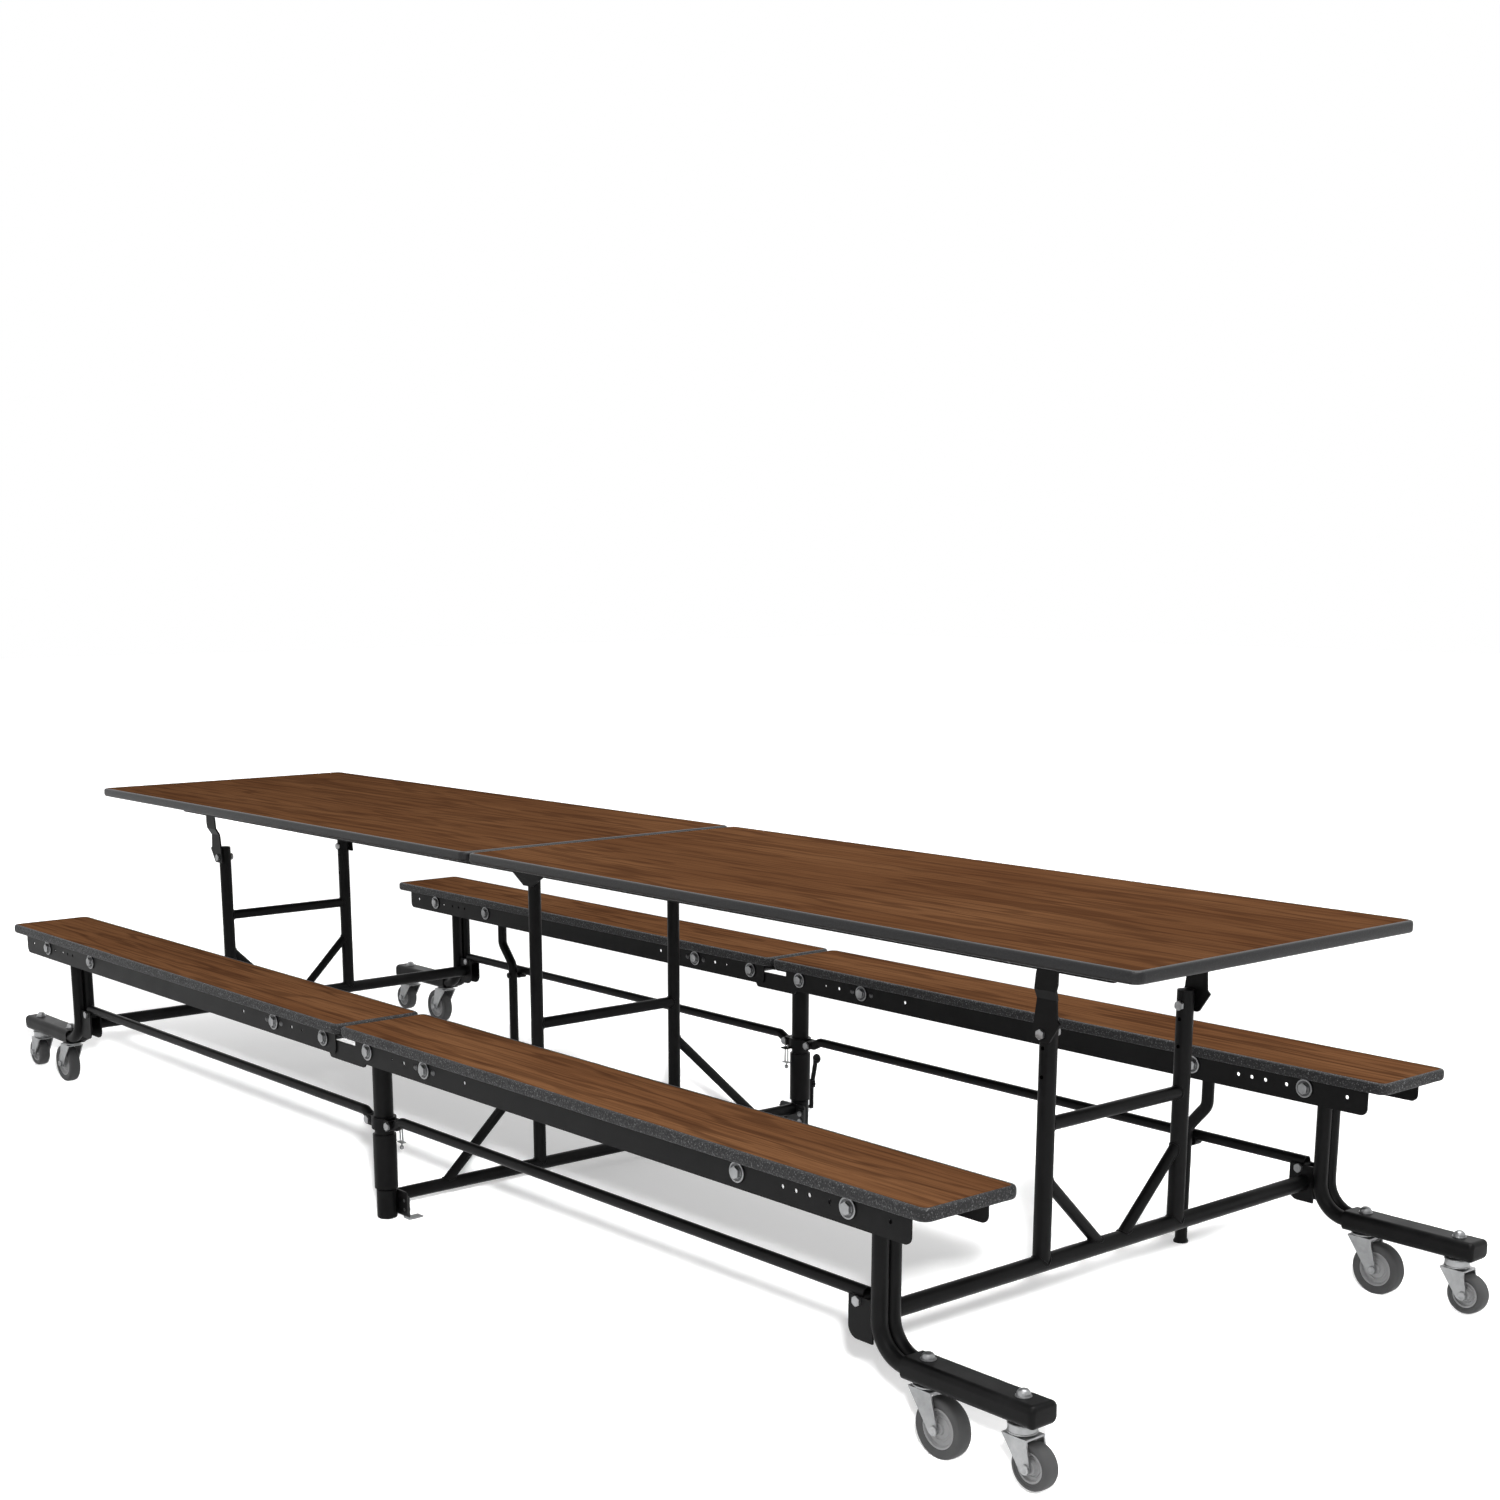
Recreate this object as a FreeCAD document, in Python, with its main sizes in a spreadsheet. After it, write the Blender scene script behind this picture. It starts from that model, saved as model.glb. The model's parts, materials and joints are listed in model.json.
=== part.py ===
import FreeCAD, Part
import math
import os
import Sketcher

# Folding table with two benches, in millimetres. +X runs along the table, +Y across it, +Z is up.
# The origin is on the floor under the middle of the table. "left" is -X, "near" is -Y.

DOC = FreeCAD.newDocument("folding_bench_table")
SIDES = (("left", -1), ("right", 1))
ROWS = (("near", -1), ("far", 1))

# A size given as a formula follows the sizes above it.
DIMENSIONS = (
    # table top
    ("top_height", 779.0),          # floor to the top face
    ("top_half_length", 1841.5),
    ("top_half_width", 381.0),
    ("board_thickness", 22.0),
    ("halves_gap", 12.0),           # between the two halves of a board
    ("corner_radius", 20.0),
    ("edge_round", 8.0),
    ("top_rail_y", 218.75),         # middle of the web
    ("top_rail_depth", 41.0),
    ("top_rail_start", 30.0),
    ("top_rail_end", 1676.0),
    ("top_pivot_drop", 13.0),       # board underside to the top's pivots
    ("top_pivot_x", 1518.0),
    ("centre_pivot_x", 84.0),
    # benches
    ("bench_height", 442.0),
    ("bench_y", 605.0),
    ("bench_half_width", 107.0),
    ("bench_half_length", 1727.0),
    ("rail_half_spacing", 86.5),    # bench line to the outer face of a web
    ("rail_thickness", 2.5),
    ("rail_flange", 26.0),
    ("rail_depth", 50.0),
    ("rail_corner", 14.0),
    ("rail_start", 41.0),
    ("rail_end", 1679.0),
    ("brace_bolt_x", 309.0),
    ("rivet_offset", 32.0),
    ("support_x", 1273.0),
    ("rail_hole_radius", 4.0),
    ("small_hole_radius", 2.5),
    ("tab_tip", 3.0),               # middle of the table to the alignment tabs
    ("tab_drop", 6.0),              # board underside to the tabs
    ("tab_sheet", 3.0),
    ("tab_width", 14.0),
    # pivots of the folding linkage
    ("pivot_height", 399.0),
    ("hinge_x", 91.0),
    ("leg_x", 1540.0),
    ("rod_drop", 183.0),            # and this far below them
    # end legs and arms
    ("leg_od", 28.6),
    ("tube_wall", 1.8),
    ("leg_pitch", "=leg_od + 0.2"),
    ("leg_rise", 12.0),             # above the bench pivot
    ("leg_bend", 64.0),
    ("arm_wall", 1.6),
    ("arm_width", "=leg_pitch + leg_od + 2 * arm_wall + 0.4"),
    ("arm_depth", "=leg_od + 2 * arm_wall + 6.2"),
    ("arm_low", 117.0),             # floor to the arm's underside, the seat of the casters
    ("arm_height", "=arm_low + arm_depth / 2"),
    ("arm_corner", 12.0),
    ("arm_overlap", 24.0),          # tube length inside the arm
    ("arm_length", 270.0),
    ("clevis_width", 71.0),
    ("clevis_low", 150.0),
    ("clevis_over", 8.0),
    ("clevis_corner", 22.0),
    ("plate_thickness", 4.0),
    ("stub_od", 19.0),
    ("stub_y", 35.0),
    ("stub_drop", 19.0),
    ("halves_stop", 0.5),           # half of the gap between the stubs when folded
    # end frame
    ("frame_x", 1501.0),
    ("frame_od", 31.8),
    ("cross_height", 188.0),
    ("upright_y", 186.0),
    ("upright_top", 630.0),
    ("rung_od", 25.4),
    ("rung_height", 439.0),
    ("brace_od", 22.0),
    ("brace_top", 344.0),
    ("brace_foot_y", 26.0),
    ("link_pivot_height", 602.0),
    ("spare_hole_step", 25.4),
    # swing links
    ("link_joggle", 10.0),
    ("link_gap", 0.6),
    # casters
    ("caster_x", 1637.0),
    ("caster_pitch", 201.0),
    ("kingpin_radius", 6.0),
    ("axle_radius", 5.0),
    ("running_gap", 0.1),
    ("big_wheel_radius", 51.0),
    ("big_trail", 36.0),
    ("small_wheel_radius", 38.0),
    ("small_trail", 27.0),
    ("small_wheel_lift", 12.0),
    ("wheel_width", 30.0),
    ("fork_gap", 3.5),
    ("fork_sheet", 3.0),
    # stabilizer rods and dog-leg supports
    ("rod_od", 22.2),
    ("rod_wall", 1.6),
    ("rod_lift", 12.0),
    ("rod_jog", 34.0),
    ("eye_radius", 11.0),
    ("pin_radius", 5.0),
    ("support_od", 25.4),
    ("support_shift", 30.0),
    ("support_jog_top", 303.0),
    ("support_jog_low", 246.0),
    # centre legs
    ("outer_tube_od", 42.4),
    ("outer_tube_low", 70.0),
    # rod pivots lie this far inboard of the bench pivots, clear of the centre legs
    ("rod_back", "=hinge_x - outer_tube_od / 2 - 19.8"),
    ("lower_sleeve_od", "=outer_tube_od + 8.4"),
    ("lower_sleeve_top", 190.0),
    ("inner_tube_od", "=outer_tube_od - 4.3"),
    ("inner_tube_low", 6.0),
    ("boot_od", "=outer_tube_od + 1.6"),    # boot on the foot of the inner tube
    ("boot_low", 2.0),
    ("boot_gap", 3.0),              # boot to the outer tube
    ("inner_tube_top", 355.0),
    ("link_plate_low", 39.0),
    ("saddle_width", 68.0),
    ("saddle_lift", 2.0),           # link plates' lower edge to the saddle
    ("collar_od", "=outer_tube_od + 11.6"),
    ("collar_half_height", 13.0),
    ("lock_x", 15.0),               # pull pins, from the leg's axis
    ("lock_out", "=collar_od / 2 + 6"),
    ("lock_half_spacing", 5.0),
    ("lock_rod_radius", 1.6),
    ("lock_drop", 34.0),            # collar to the pull pin's bridge
    ("lever_height", 104.0),        # pivot of the release lever
    ("lever_out", 38.0),
    ("lever_pin_radius", 3.0),
    ("lever_width", 12.0),
    ("lever_ear", 3.0),
    # centre frame
    ("centre_od", 28.6),
    ("base_height", 48.0),
    ("centre_upright_y", 198.0),
    ("centre_upright_top", 744.0),
    ("centre_rung_height", 375.0),
    ("centre_brace_top", 289.0),
    ("centre_brace_foot_y", 458.0),
    ("gusset_low", 690.0),
    ("base_plate_half_width", 46.0),
    ("base_plate_top", 62.0),
    ("foot_depth", 36.0),
    ("foot_sheet", 3.0),
    ("foot_inset", 24.0),           # inner edge of a foot, from the middle
    ("foot_bolt_x", 34.0),
    ("foot_bolt_low", 22.0),
    ("foot_bolt_high", 42.0),
    ("foot_bolt_radius", 4.0),
    # shared clearances
    ("sliding_gap", 0.5),
)


class Dim:
    """A size: its value, and the sheet expression that gives it."""

    def __init__(self, text, value):
        self.text = text
        self.value = float(value)

    @staticmethod
    def of(size):
        if isinstance(size, Dim):
            return size
        return Dim("(%r)" % float(size), size)

    def joined(self, other, sign, value):
        return Dim("(%s %s %s)" % (self.text, sign, Dim.of(other).text), value)

    def __add__(self, other):
        return self.joined(other, "+", self.value + float(other))

    def __radd__(self, other):
        return Dim.of(other) + self

    def __sub__(self, other):
        return self.joined(other, "-", self.value - float(other))

    def __rsub__(self, other):
        return Dim.of(other) - self

    def __mul__(self, other):
        return self.joined(other, "*", self.value * float(other))

    def __rmul__(self, other):
        return Dim.of(other) * self

    def __truediv__(self, other):
        return self.joined(other, "/", self.value / float(other))

    def __neg__(self):
        return self * -1

    def __float__(self):
        return self.value


class Sizes:
    """The sheet's sizes, each as a Dim under its alias."""


def make_sheet():
    """Write the driving sizes to the sheet and return them."""
    sheet = DOC.addObject("Spreadsheet::Sheet", "Dims")
    sizes = Sizes()
    for row, (alias, value) in enumerate(DIMENSIONS, start=1):
        sheet.set("A%d" % row, alias)
        sheet.set("B%d" % row, str(value))
        sheet.setAlias("B%d" % row, alias)
    DOC.recompute()
    for alias, _ in DIMENSIONS:
        setattr(sizes, alias, Dim("Dims." + alias, sheet.get(alias)))
    return sizes


D = make_sheet()

# Sizes that follow from the driving ones.
BOARD_LOW = D.top_height - D.board_thickness
TOP_PIVOT_Z = BOARD_LOW - D.top_pivot_drop
BENCH_LOW = D.bench_height - D.board_thickness
ROD_Z = D.pivot_height - D.rod_drop
END_ROD_X = D.leg_x - D.rod_back
CENTRE_ROD_X = D.hinge_x - D.rod_back
HALF_GAP = D.halves_gap / 2
LINK_PLATE_OUT = D.rail_half_spacing - D.rail_thickness - D.sliding_gap
LINK_PLATE_Y = LINK_PLATE_OUT - D.plate_thickness / 2
EYE_HALF = D.rod_od / 2
CLEVIS_Y = EYE_HALF + 1 + D.plate_thickness / 2
SUPPORT_Y = D.bench_y - D.support_shift
SUPPORT_FOOT_X = D.support_x - D.rod_back
SADDLE_LOW = D.pivot_height - D.link_plate_low + D.saddle_lift


def vector(x, y, z):
    return FreeCAD.Vector(float(x), float(y), float(z))


def hypotenuse(*legs):
    """Length of the straight line whose components are given."""
    text = " + ".join("(%s)^2" % Dim.of(leg).text for leg in legs)
    return Dim("sqrt(%s)" % text, math.sqrt(sum(float(leg) ** 2 for leg in legs)))


def bind(feature, name, size):
    """Tie a property of a feature to the sheet."""
    feature.setExpression(name, Dim.of(size).text)


def place(feature, x, y, z, turn=0):
    """Move a feature and turn it about the upright axis, in degrees."""
    rotation = FreeCAD.Rotation(vector(0, 0, 1), turn)
    feature.Placement = FreeCAD.Placement(vector(x, y, z), rotation)
    return feature


# ---------------------------------------------------------------- solids from primitives

def bar(name, radius, start, end):
    """Solid round bar from start to end."""
    steps = [Dim.of(b) - a for a, b in zip(start, end)]
    cylinder = DOC.addObject("Part::Cylinder", name)
    bind(cylinder, "Radius", radius)
    bind(cylinder, "Height", hypotenuse(*steps))
    turn = FreeCAD.Rotation(vector(0, 0, 1), vector(*steps))
    cylinder.Placement = FreeCAD.Placement(vector(*start), turn)
    return cylinder


def block(name, x, y, z):
    """Box between two limits on each axis, given in either order."""
    box = DOC.addObject("Part::Box", name)
    corner = []
    for prop, (first, last) in zip(("Length", "Width", "Height"), (x, y, z)):
        low, high = sorted((Dim.of(first), Dim.of(last)), key=float)
        bind(box, prop, high - low)
        corner.append(low)
    box.Placement = FreeCAD.Placement(vector(*corner), FreeCAD.Rotation())
    return box


def cut(base, *tools):
    """The base without the tools."""
    for tool in tools:
        feature = DOC.addObject("Part::Cut", base.Name + "_cut")
        feature.Base = base
        feature.Tool = tool
        base = feature
    return base


def fuse(*parts):
    """One solid from overlapping parts."""
    feature = DOC.addObject("Part::MultiFuse", parts[0].Name + "_fused")
    feature.Shapes = list(parts)
    feature.Refine = True
    return feature


def common(first, second):
    """What two parts share."""
    feature = DOC.addObject("Part::MultiCommon", first.Name + "_common")
    feature.Shapes = [first, second]
    return feature


def tube(name, diameter, wall, start, end, *tools):
    """Open round tube from start to end, cut back by the tools."""
    outer = bar(name, diameter / 2, start, end)
    bore = bar(name + "_bore", diameter / 2 - wall, start, end)
    return cut(outer, bore, *tools)


def copy_at(template, name, x, y, z, turn=0):
    """A further copy of a template solid."""
    link = DOC.addObject("App::Link", name)
    link.LinkedObject = template
    return place(link, x, y, z, turn)


def sub_part(label, *solids):
    """Collect the solids of one sub-part under its label."""
    node = DOC.addObject("Part::Compound", label)
    node.Links = list(solids)
    node.Label = label
    NODES.append(node)
    return node


NODES = []


# ---------------------------------------------------------------- solids from sketches

def sketch_on(body, role, name):
    """New sketch on one of the body's own origin planes."""
    sketch = body.newObject("Sketcher::SketchObject", name)
    plane = next(item for item in body.Origin.OriginFeatures if item.Role == role)
    sketch.AttachmentSupport = (plane, [""])
    sketch.MapMode = "FlatFace"
    return sketch


def named_limit(sketch, kind, size, *where):
    """Add a constraint whose value is tied to the sheet."""
    index = sketch.addConstraint(Sketcher.Constraint(kind, *where, float(size)))
    name = "size%d" % index
    sketch.renameConstraint(index, name)
    sketch.setExpression("Constraints." + name, Dim.of(size).text)


def pin_point(sketch, geometry, end, x, y):
    """Hold a point at a distance from the sketch's origin."""
    named_limit(sketch, "DistanceX", x, -1, 1, geometry, end)
    named_limit(sketch, "DistanceY", y, -1, 1, geometry, end)


def rounding(before, corner, after, radius):
    """Tangent points and arc of a rounded corner; the arc runs counter-clockwise."""
    inward = (corner - before).normalize()
    onward = (after - corner).normalize()
    left_turn = inward.cross(onward).z > 0
    turn = inward.getAngle(onward)
    reach = radius * math.tan(turn / 2)
    arrive = corner - inward * reach
    leave = corner + onward * reach
    side = 1 if left_turn else -1
    centre = arrive + FreeCAD.Vector(-inward.y, inward.x, 0) * (side * radius)
    first, last = (arrive, leave) if left_turn else (leave, arrive)
    angles = [math.atan2(p.y - centre.y, p.x - centre.x) for p in (first, last)]
    if angles[1] < angles[0]:
        angles[1] += 2 * math.pi
    circle = Part.Circle(centre, vector(0, 0, 1), radius)
    return arrive, leave, Part.ArcOfCircle(circle, *angles), left_turn


def draw_path(sketch, corners, closed=True):
    """Draw lines through corners (x, y, radius), with tangent arcs where radius isn't 0."""
    count = len(corners)
    points = [vector(x, y, 0) for x, y, _ in corners]
    rounds = {}
    for index, (_, _, radius) in enumerate(corners):
        inside = closed or 0 < index < count - 1
        if inside and float(radius) > 0:
            around = points[index - 1], points[index], points[(index + 1) % count]
            rounds[index] = rounding(*around, float(radius))
    lines = []
    for index in range(count if closed else count - 1):
        after = (index + 1) % count
        start = rounds[index][1] if index in rounds else points[index]
        end = rounds[after][0] if after in rounds else points[after]
        lines.append(sketch.addGeometry(Part.LineSegment(start, end)))
    for index, (x, y, radius) in enumerate(corners):
        before = lines[index - 1] if closed or index > 0 else None
        after = lines[index] if index < len(lines) else None
        if index in rounds:
            _, _, arc, left_turn = rounds[index]
            arc_index = sketch.addGeometry(arc)
            begin, finish = (1, 2) if left_turn else (2, 1)
            corner = sketch.addGeometry(Part.Point(points[index]), True)
            sketch.addConstraint(Sketcher.Constraint("Tangent", before, 2, arc_index, begin))
            sketch.addConstraint(Sketcher.Constraint("Tangent", arc_index, finish, after, 1))
            sketch.addConstraint(Sketcher.Constraint("PointOnObject", corner, 1, before))
            sketch.addConstraint(Sketcher.Constraint("PointOnObject", corner, 1, after))
            named_limit(sketch, "Radius", radius, arc_index)
            pin_point(sketch, corner, 1, x, y)
        elif after is None:
            pin_point(sketch, before, 2, x, y)
        else:
            if before is not None:
                sketch.addConstraint(Sketcher.Constraint("Coincident", before, 2, after, 1))
            pin_point(sketch, after, 1, x, y)
    return lines


def draw_circle(sketch, x, y, radius):
    """Draw a circle tied to the sheet."""
    circle = sketch.addGeometry(Part.Circle(vector(x, y, 0), vector(0, 0, 1), float(radius)))
    named_limit(sketch, "Radius", radius, circle)
    pin_point(sketch, circle, 3, x, y)


def plate(name, role, outline, thickness, holes=()):
    """Flat plate, half of its thickness on each side of its sketch plane."""
    body = DOC.addObject("PartDesign::Body", name)
    sketch = sketch_on(body, role, name + "_outline")
    draw_path(sketch, outline)
    for x, y, radius in holes:
        draw_circle(sketch, x, y, radius)
    pad = body.newObject("PartDesign::Pad", name + "_pad")
    pad.Profile = sketch
    pad.SideType = "Symmetric"
    bind(pad, "Length", thickness)
    return body


def revolved(name, role, outline):
    """Solid turned about the sketch's own vertical axis."""
    body = DOC.addObject("PartDesign::Body", name)
    sketch = sketch_on(body, role, name + "_outline")
    draw_path(sketch, outline)
    turn = body.newObject("PartDesign::Revolution", name + "_turn")
    turn.Profile = sketch
    turn.ReferenceAxis = (sketch, ["V_Axis"])
    turn.Angle = 360
    return body


def bent_tube(name, role, path, diameter, wall):
    """Tube along a bent path in the XZ plane; its mouth lies on the plane named by role."""
    body = DOC.addObject("PartDesign::Body", name)
    spine = sketch_on(body, "XZ_Plane", name + "_spine")
    draw_path(spine, path, closed=False)
    mouth = sketch_on(body, role, name + "_mouth")
    draw_circle(mouth, 0, 0, diameter / 2)
    draw_circle(mouth, 0, 0, diameter / 2 - wall)
    DOC.recompute()
    pipe = body.newObject("PartDesign::AdditivePipe", name + "_pipe")
    pipe.Profile = mouth
    edges = len(spine.Shape.Edges)
    pipe.Spine = (spine, ["Edge%d" % number for number in range(1, edges + 1)])
    return body


def box_outline(x0, x1, y0, y1, radius=0, lower_radius=None):
    """Corners of a rectangle; the two lower ones may have their own radius."""
    low = radius if lower_radius is None else lower_radius
    return [(x0, y0, low), (x1, y0, low), (x1, y1, radius), (x0, y1, radius)]


# ---------------------------------------------------------------- boards and rails

def board(label, side, centre_y, half_width, outer_x, top_z):
    """Laminated board half with rounded corners and a rounded moulded edge."""
    body = DOC.addObject("PartDesign::Body", label + "_board")
    sketch = sketch_on(body, "XY_Plane", label + "_outline")
    inner, outer = sorted((side * HALF_GAP, side * outer_x), key=float)
    draw_path(sketch, box_outline(inner, outer, -half_width, half_width, D.corner_radius))
    pad = body.newObject("PartDesign::Pad", label + "_pad")
    pad.Profile = sketch
    bind(pad, "Length", D.board_thickness)
    DOC.recompute()
    rim = [number for number, edge in enumerate(pad.Shape.Edges, start=1)
           if edge.BoundBox.ZLength < 0.001]
    fillet = body.newObject("PartDesign::Fillet", label + "_edge")
    fillet.Base = (pad, ["Edge%d" % number for number in rim])
    bind(fillet, "Radius", D.edge_round)
    place(body, 0, centre_y, top_z - D.board_thickness)
    sub_part(label, body)


def angle_rail(name, x0, x1, top_z, depth, web_y, flange_to, holes):
    """Angle rail: an upright web under a board, with a flange against the board."""
    thickness = D.rail_thickness
    outline = box_outline(*sorted((x0, x1), key=float), top_z - depth, top_z, 0, D.rail_corner)
    web = plate(name, "XZ_Plane", outline, thickness, holes)
    place(web, 0, web_y, 0)
    outward = 1 if float(flange_to) > float(web_y) else -1
    face = web_y - outward * thickness / 2
    flange = block(name + "_flange", (x0, x1), (face, flange_to), (top_z - thickness, top_z))
    return fuse(web, flange)


def bench_rails(label, side, row):
    """The two angle rails under one bench half, their holes, and their tabs at the middle."""
    bolts = [D.hinge_x, D.brace_bolt_x, D.support_x, D.leg_x]
    spare = [D.support_x + step for step in (112.0, 144.0, 176.0, 225.0)]
    spare += [D.hinge_x + 140.0, D.brace_bolt_x + 144.0, D.leg_x + 94.0]
    holes = [(side * x, D.pivot_height, D.kingpin_radius + D.running_gap) for x in bolts]
    holes += [(side * x, D.pivot_height, D.rail_hole_radius) for x in spare]
    holes.append((side * (D.hinge_x + 94.0), D.pivot_height, D.small_hole_radius))
    rails = []
    for name, sign in (("outer", 1), ("inner", -1)):
        web_y = row * (D.bench_y + sign * (D.rail_half_spacing - D.rail_thickness / 2))
        edge = row * (D.bench_y + sign * (D.rail_half_spacing - D.rail_flange))
        rail = angle_rail("%s_%s" % (label, name), side * D.rail_start, side * D.rail_end,
                          BENCH_LOW, D.rail_depth, web_y, edge, holes)
        face = row * (D.bench_y + sign * (D.rail_half_spacing - D.rail_thickness))
        tab = block("%s_%s_tab" % (label, name), (side * D.tab_tip, side * (D.rail_start + D.tab_width)),
                    (face, face - row * sign * D.tab_width), (BENCH_LOW - D.tab_drop - D.tab_sheet,
                                                              BENCH_LOW - D.tab_drop))
        rails += [rail, tab]
    sub_part(label, *rails)


def top_rails(label, side):
    """The two angle rails under one half of the table top, with their pivot bolts."""
    holes = [(side * D.top_pivot_x, TOP_PIVOT_Z, D.pin_radius),
             (side * D.centre_pivot_x, TOP_PIVOT_Z, D.pin_radius)]
    solids = []
    for row_name, row in ROWS:
        name = "%s_%s" % (label, row_name)
        flange_to = row * (D.top_rail_y + D.rail_flange)
        solids.append(angle_rail(name, side * D.top_rail_start, side * D.top_rail_end,
                                 BOARD_LOW, D.top_rail_depth, row * D.top_rail_y, flange_to, holes))
        face = D.top_rail_y + D.rail_thickness / 2
        turn = 0 if row > 0 else 180
        solids.append(copy_at(LINK_BOLT, name + "_link_bolt", side * D.top_pivot_x, row * face,
                              TOP_PIVOT_Z, turn))
        solids.append(copy_at(STUB_BOLT, name + "_centre_bolt", side * D.centre_pivot_x,
                              row * face, TOP_PIVOT_Z, turn))
    sub_part(label, *solids)


# ---------------------------------------------------------------- fasteners, made once each

def bolt_outline(grip, shank, nut=0.0):
    """Half section of a bolt whose head stands on y = 0 and whose shank points to -y."""
    head = shank * 1.6
    outline = [(0, shank, 0), (head * 0.75, shank, 0), (head, shank * 0.6, 0), (head, 0, 0),
               (shank, 0, 0), (shank, -grip, 0)]
    if nut > 0:
        outline += [(head, -grip, 0), (head, -grip - nut, 0)]
    outline += [(0, outline[-1][1], 0)]
    return outline


def make_cross_bolt():
    """Long bolt across both rails of a bench, with a wide washer under each of its heads."""
    half = D.rail_half_spacing
    shank = D.kingpin_radius
    washer, sheet, head = 18.0, 2.5, 9.5
    tip = half + sheet + shank
    right = [(0, tip, 0), (head * 0.7, tip, 0), (head, half + sheet + shank * 0.5, 0),
             (head, half + sheet, 0), (washer, half + sheet, 0), (washer, half, 0), (shank, half, 0)]
    left = [(x, -y, 0) for x, y, _ in reversed(right)]
    return revolved("cross_bolt", "XY_Plane", right + left)


CROSS_BOLT = make_cross_bolt()
ROD_BOLT = revolved("rod_bolt", "XY_Plane",
                    bolt_outline(2 * CLEVIS_Y + D.plate_thickness, D.pin_radius, nut=5.0))
LINK_BOLT = revolved("link_bolt", "XY_Plane",
                     bolt_outline(D.rail_thickness + 1.0 + D.plate_thickness, D.pin_radius, nut=5.0))
STUB_BOLT = revolved("stub_bolt", "XY_Plane", bolt_outline(D.rail_thickness, D.pin_radius))
UPRIGHT_BOLT = revolved(
    "upright_bolt", "XY_Plane",
    bolt_outline(D.frame_od + D.link_gap + D.plate_thickness, D.pin_radius, nut=5.0))
RIVET = revolved("rivet", "XY_Plane",
                 [(0, 3.6, 0), (3.4, 3.0, 0), (6.25, 0, 0), (0, 0, 0)])
DOME_NUT = revolved("dome_nut", "XZ_Plane",
                    [(0, 0, 0), (13.0, 0, 0), (13.0, 1.6, 0), (10.5, 1.6, 0), (10.0, 6.0, 0),
                     (6.5, 10.5, 0), (0, 12.0, 0)])
FOOT_BOLT = revolved("foot_bolt", "XY_Plane",
                     bolt_outline(D.plate_thickness + D.foot_sheet, D.foot_bolt_radius))


# ---------------------------------------------------------------- end legs and their arms

def leg_tube(name, side, y):
    """One bent tube: down from the bench, round to the arm and a little way inside it."""
    top = D.pivot_height + D.leg_rise
    drop = top - D.arm_height
    reach = D.leg_bend + D.arm_overlap
    path = [(0, 0, 0), (0, -drop, D.leg_bend), (reach, -drop, 0)]
    leg = bent_tube(name, "XY_Plane", path, D.leg_od, D.tube_wall)
    return place(leg, side * D.leg_x, y, top, 0 if side > 0 else 180)


def arm(name, side, y):
    """Flat-topped arm: a rounded box tube closed at its outer end, bored for two casters."""
    body = DOC.addObject("PartDesign::Body", name)
    sketch = sketch_on(body, "YZ_Plane", name + "_section")
    wide, deep = D.arm_width / 2, D.arm_depth / 2
    draw_path(sketch, box_outline(-wide, wide, -deep, deep, D.arm_corner))
    pad = body.newObject("PartDesign::Pad", name + "_pad")
    pad.Profile = sketch
    bind(pad, "Length", D.arm_length)
    hollow = sketch_on(body, "YZ_Plane", name + "_hollow")
    wide, deep = wide - D.arm_wall, deep - D.arm_wall
    draw_path(hollow, box_outline(-wide, wide, -deep, deep, D.arm_corner - D.arm_wall))
    DOC.recompute()
    solid_volume = pad.Shape.Volume
    pocket = body.newObject("PartDesign::Pocket", name + "_pocket")
    pocket.Profile = hollow
    pocket.Reversed = True
    bind(pocket, "Length", D.arm_length - 3.0)
    DOC.recompute()
    if pocket.Shape.Volume > 0.5 * solid_volume:
        raise RuntimeError(name + " was not hollowed")
    place(body, side * (D.leg_x + D.leg_bend), y, D.arm_height, 0 if side > 0 else 180)
    bores = []
    for number, offset in enumerate((0, D.caster_pitch)):
        x = side * (D.caster_x + offset)
        low, high = D.arm_height - D.arm_depth, D.arm_height + D.arm_depth
        bores.append(bar("%s_bore%d" % (name, number), D.kingpin_radius + D.running_gap,
                         (x, y, low), (x, y, high)))
    return cut(body, *bores)


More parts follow.
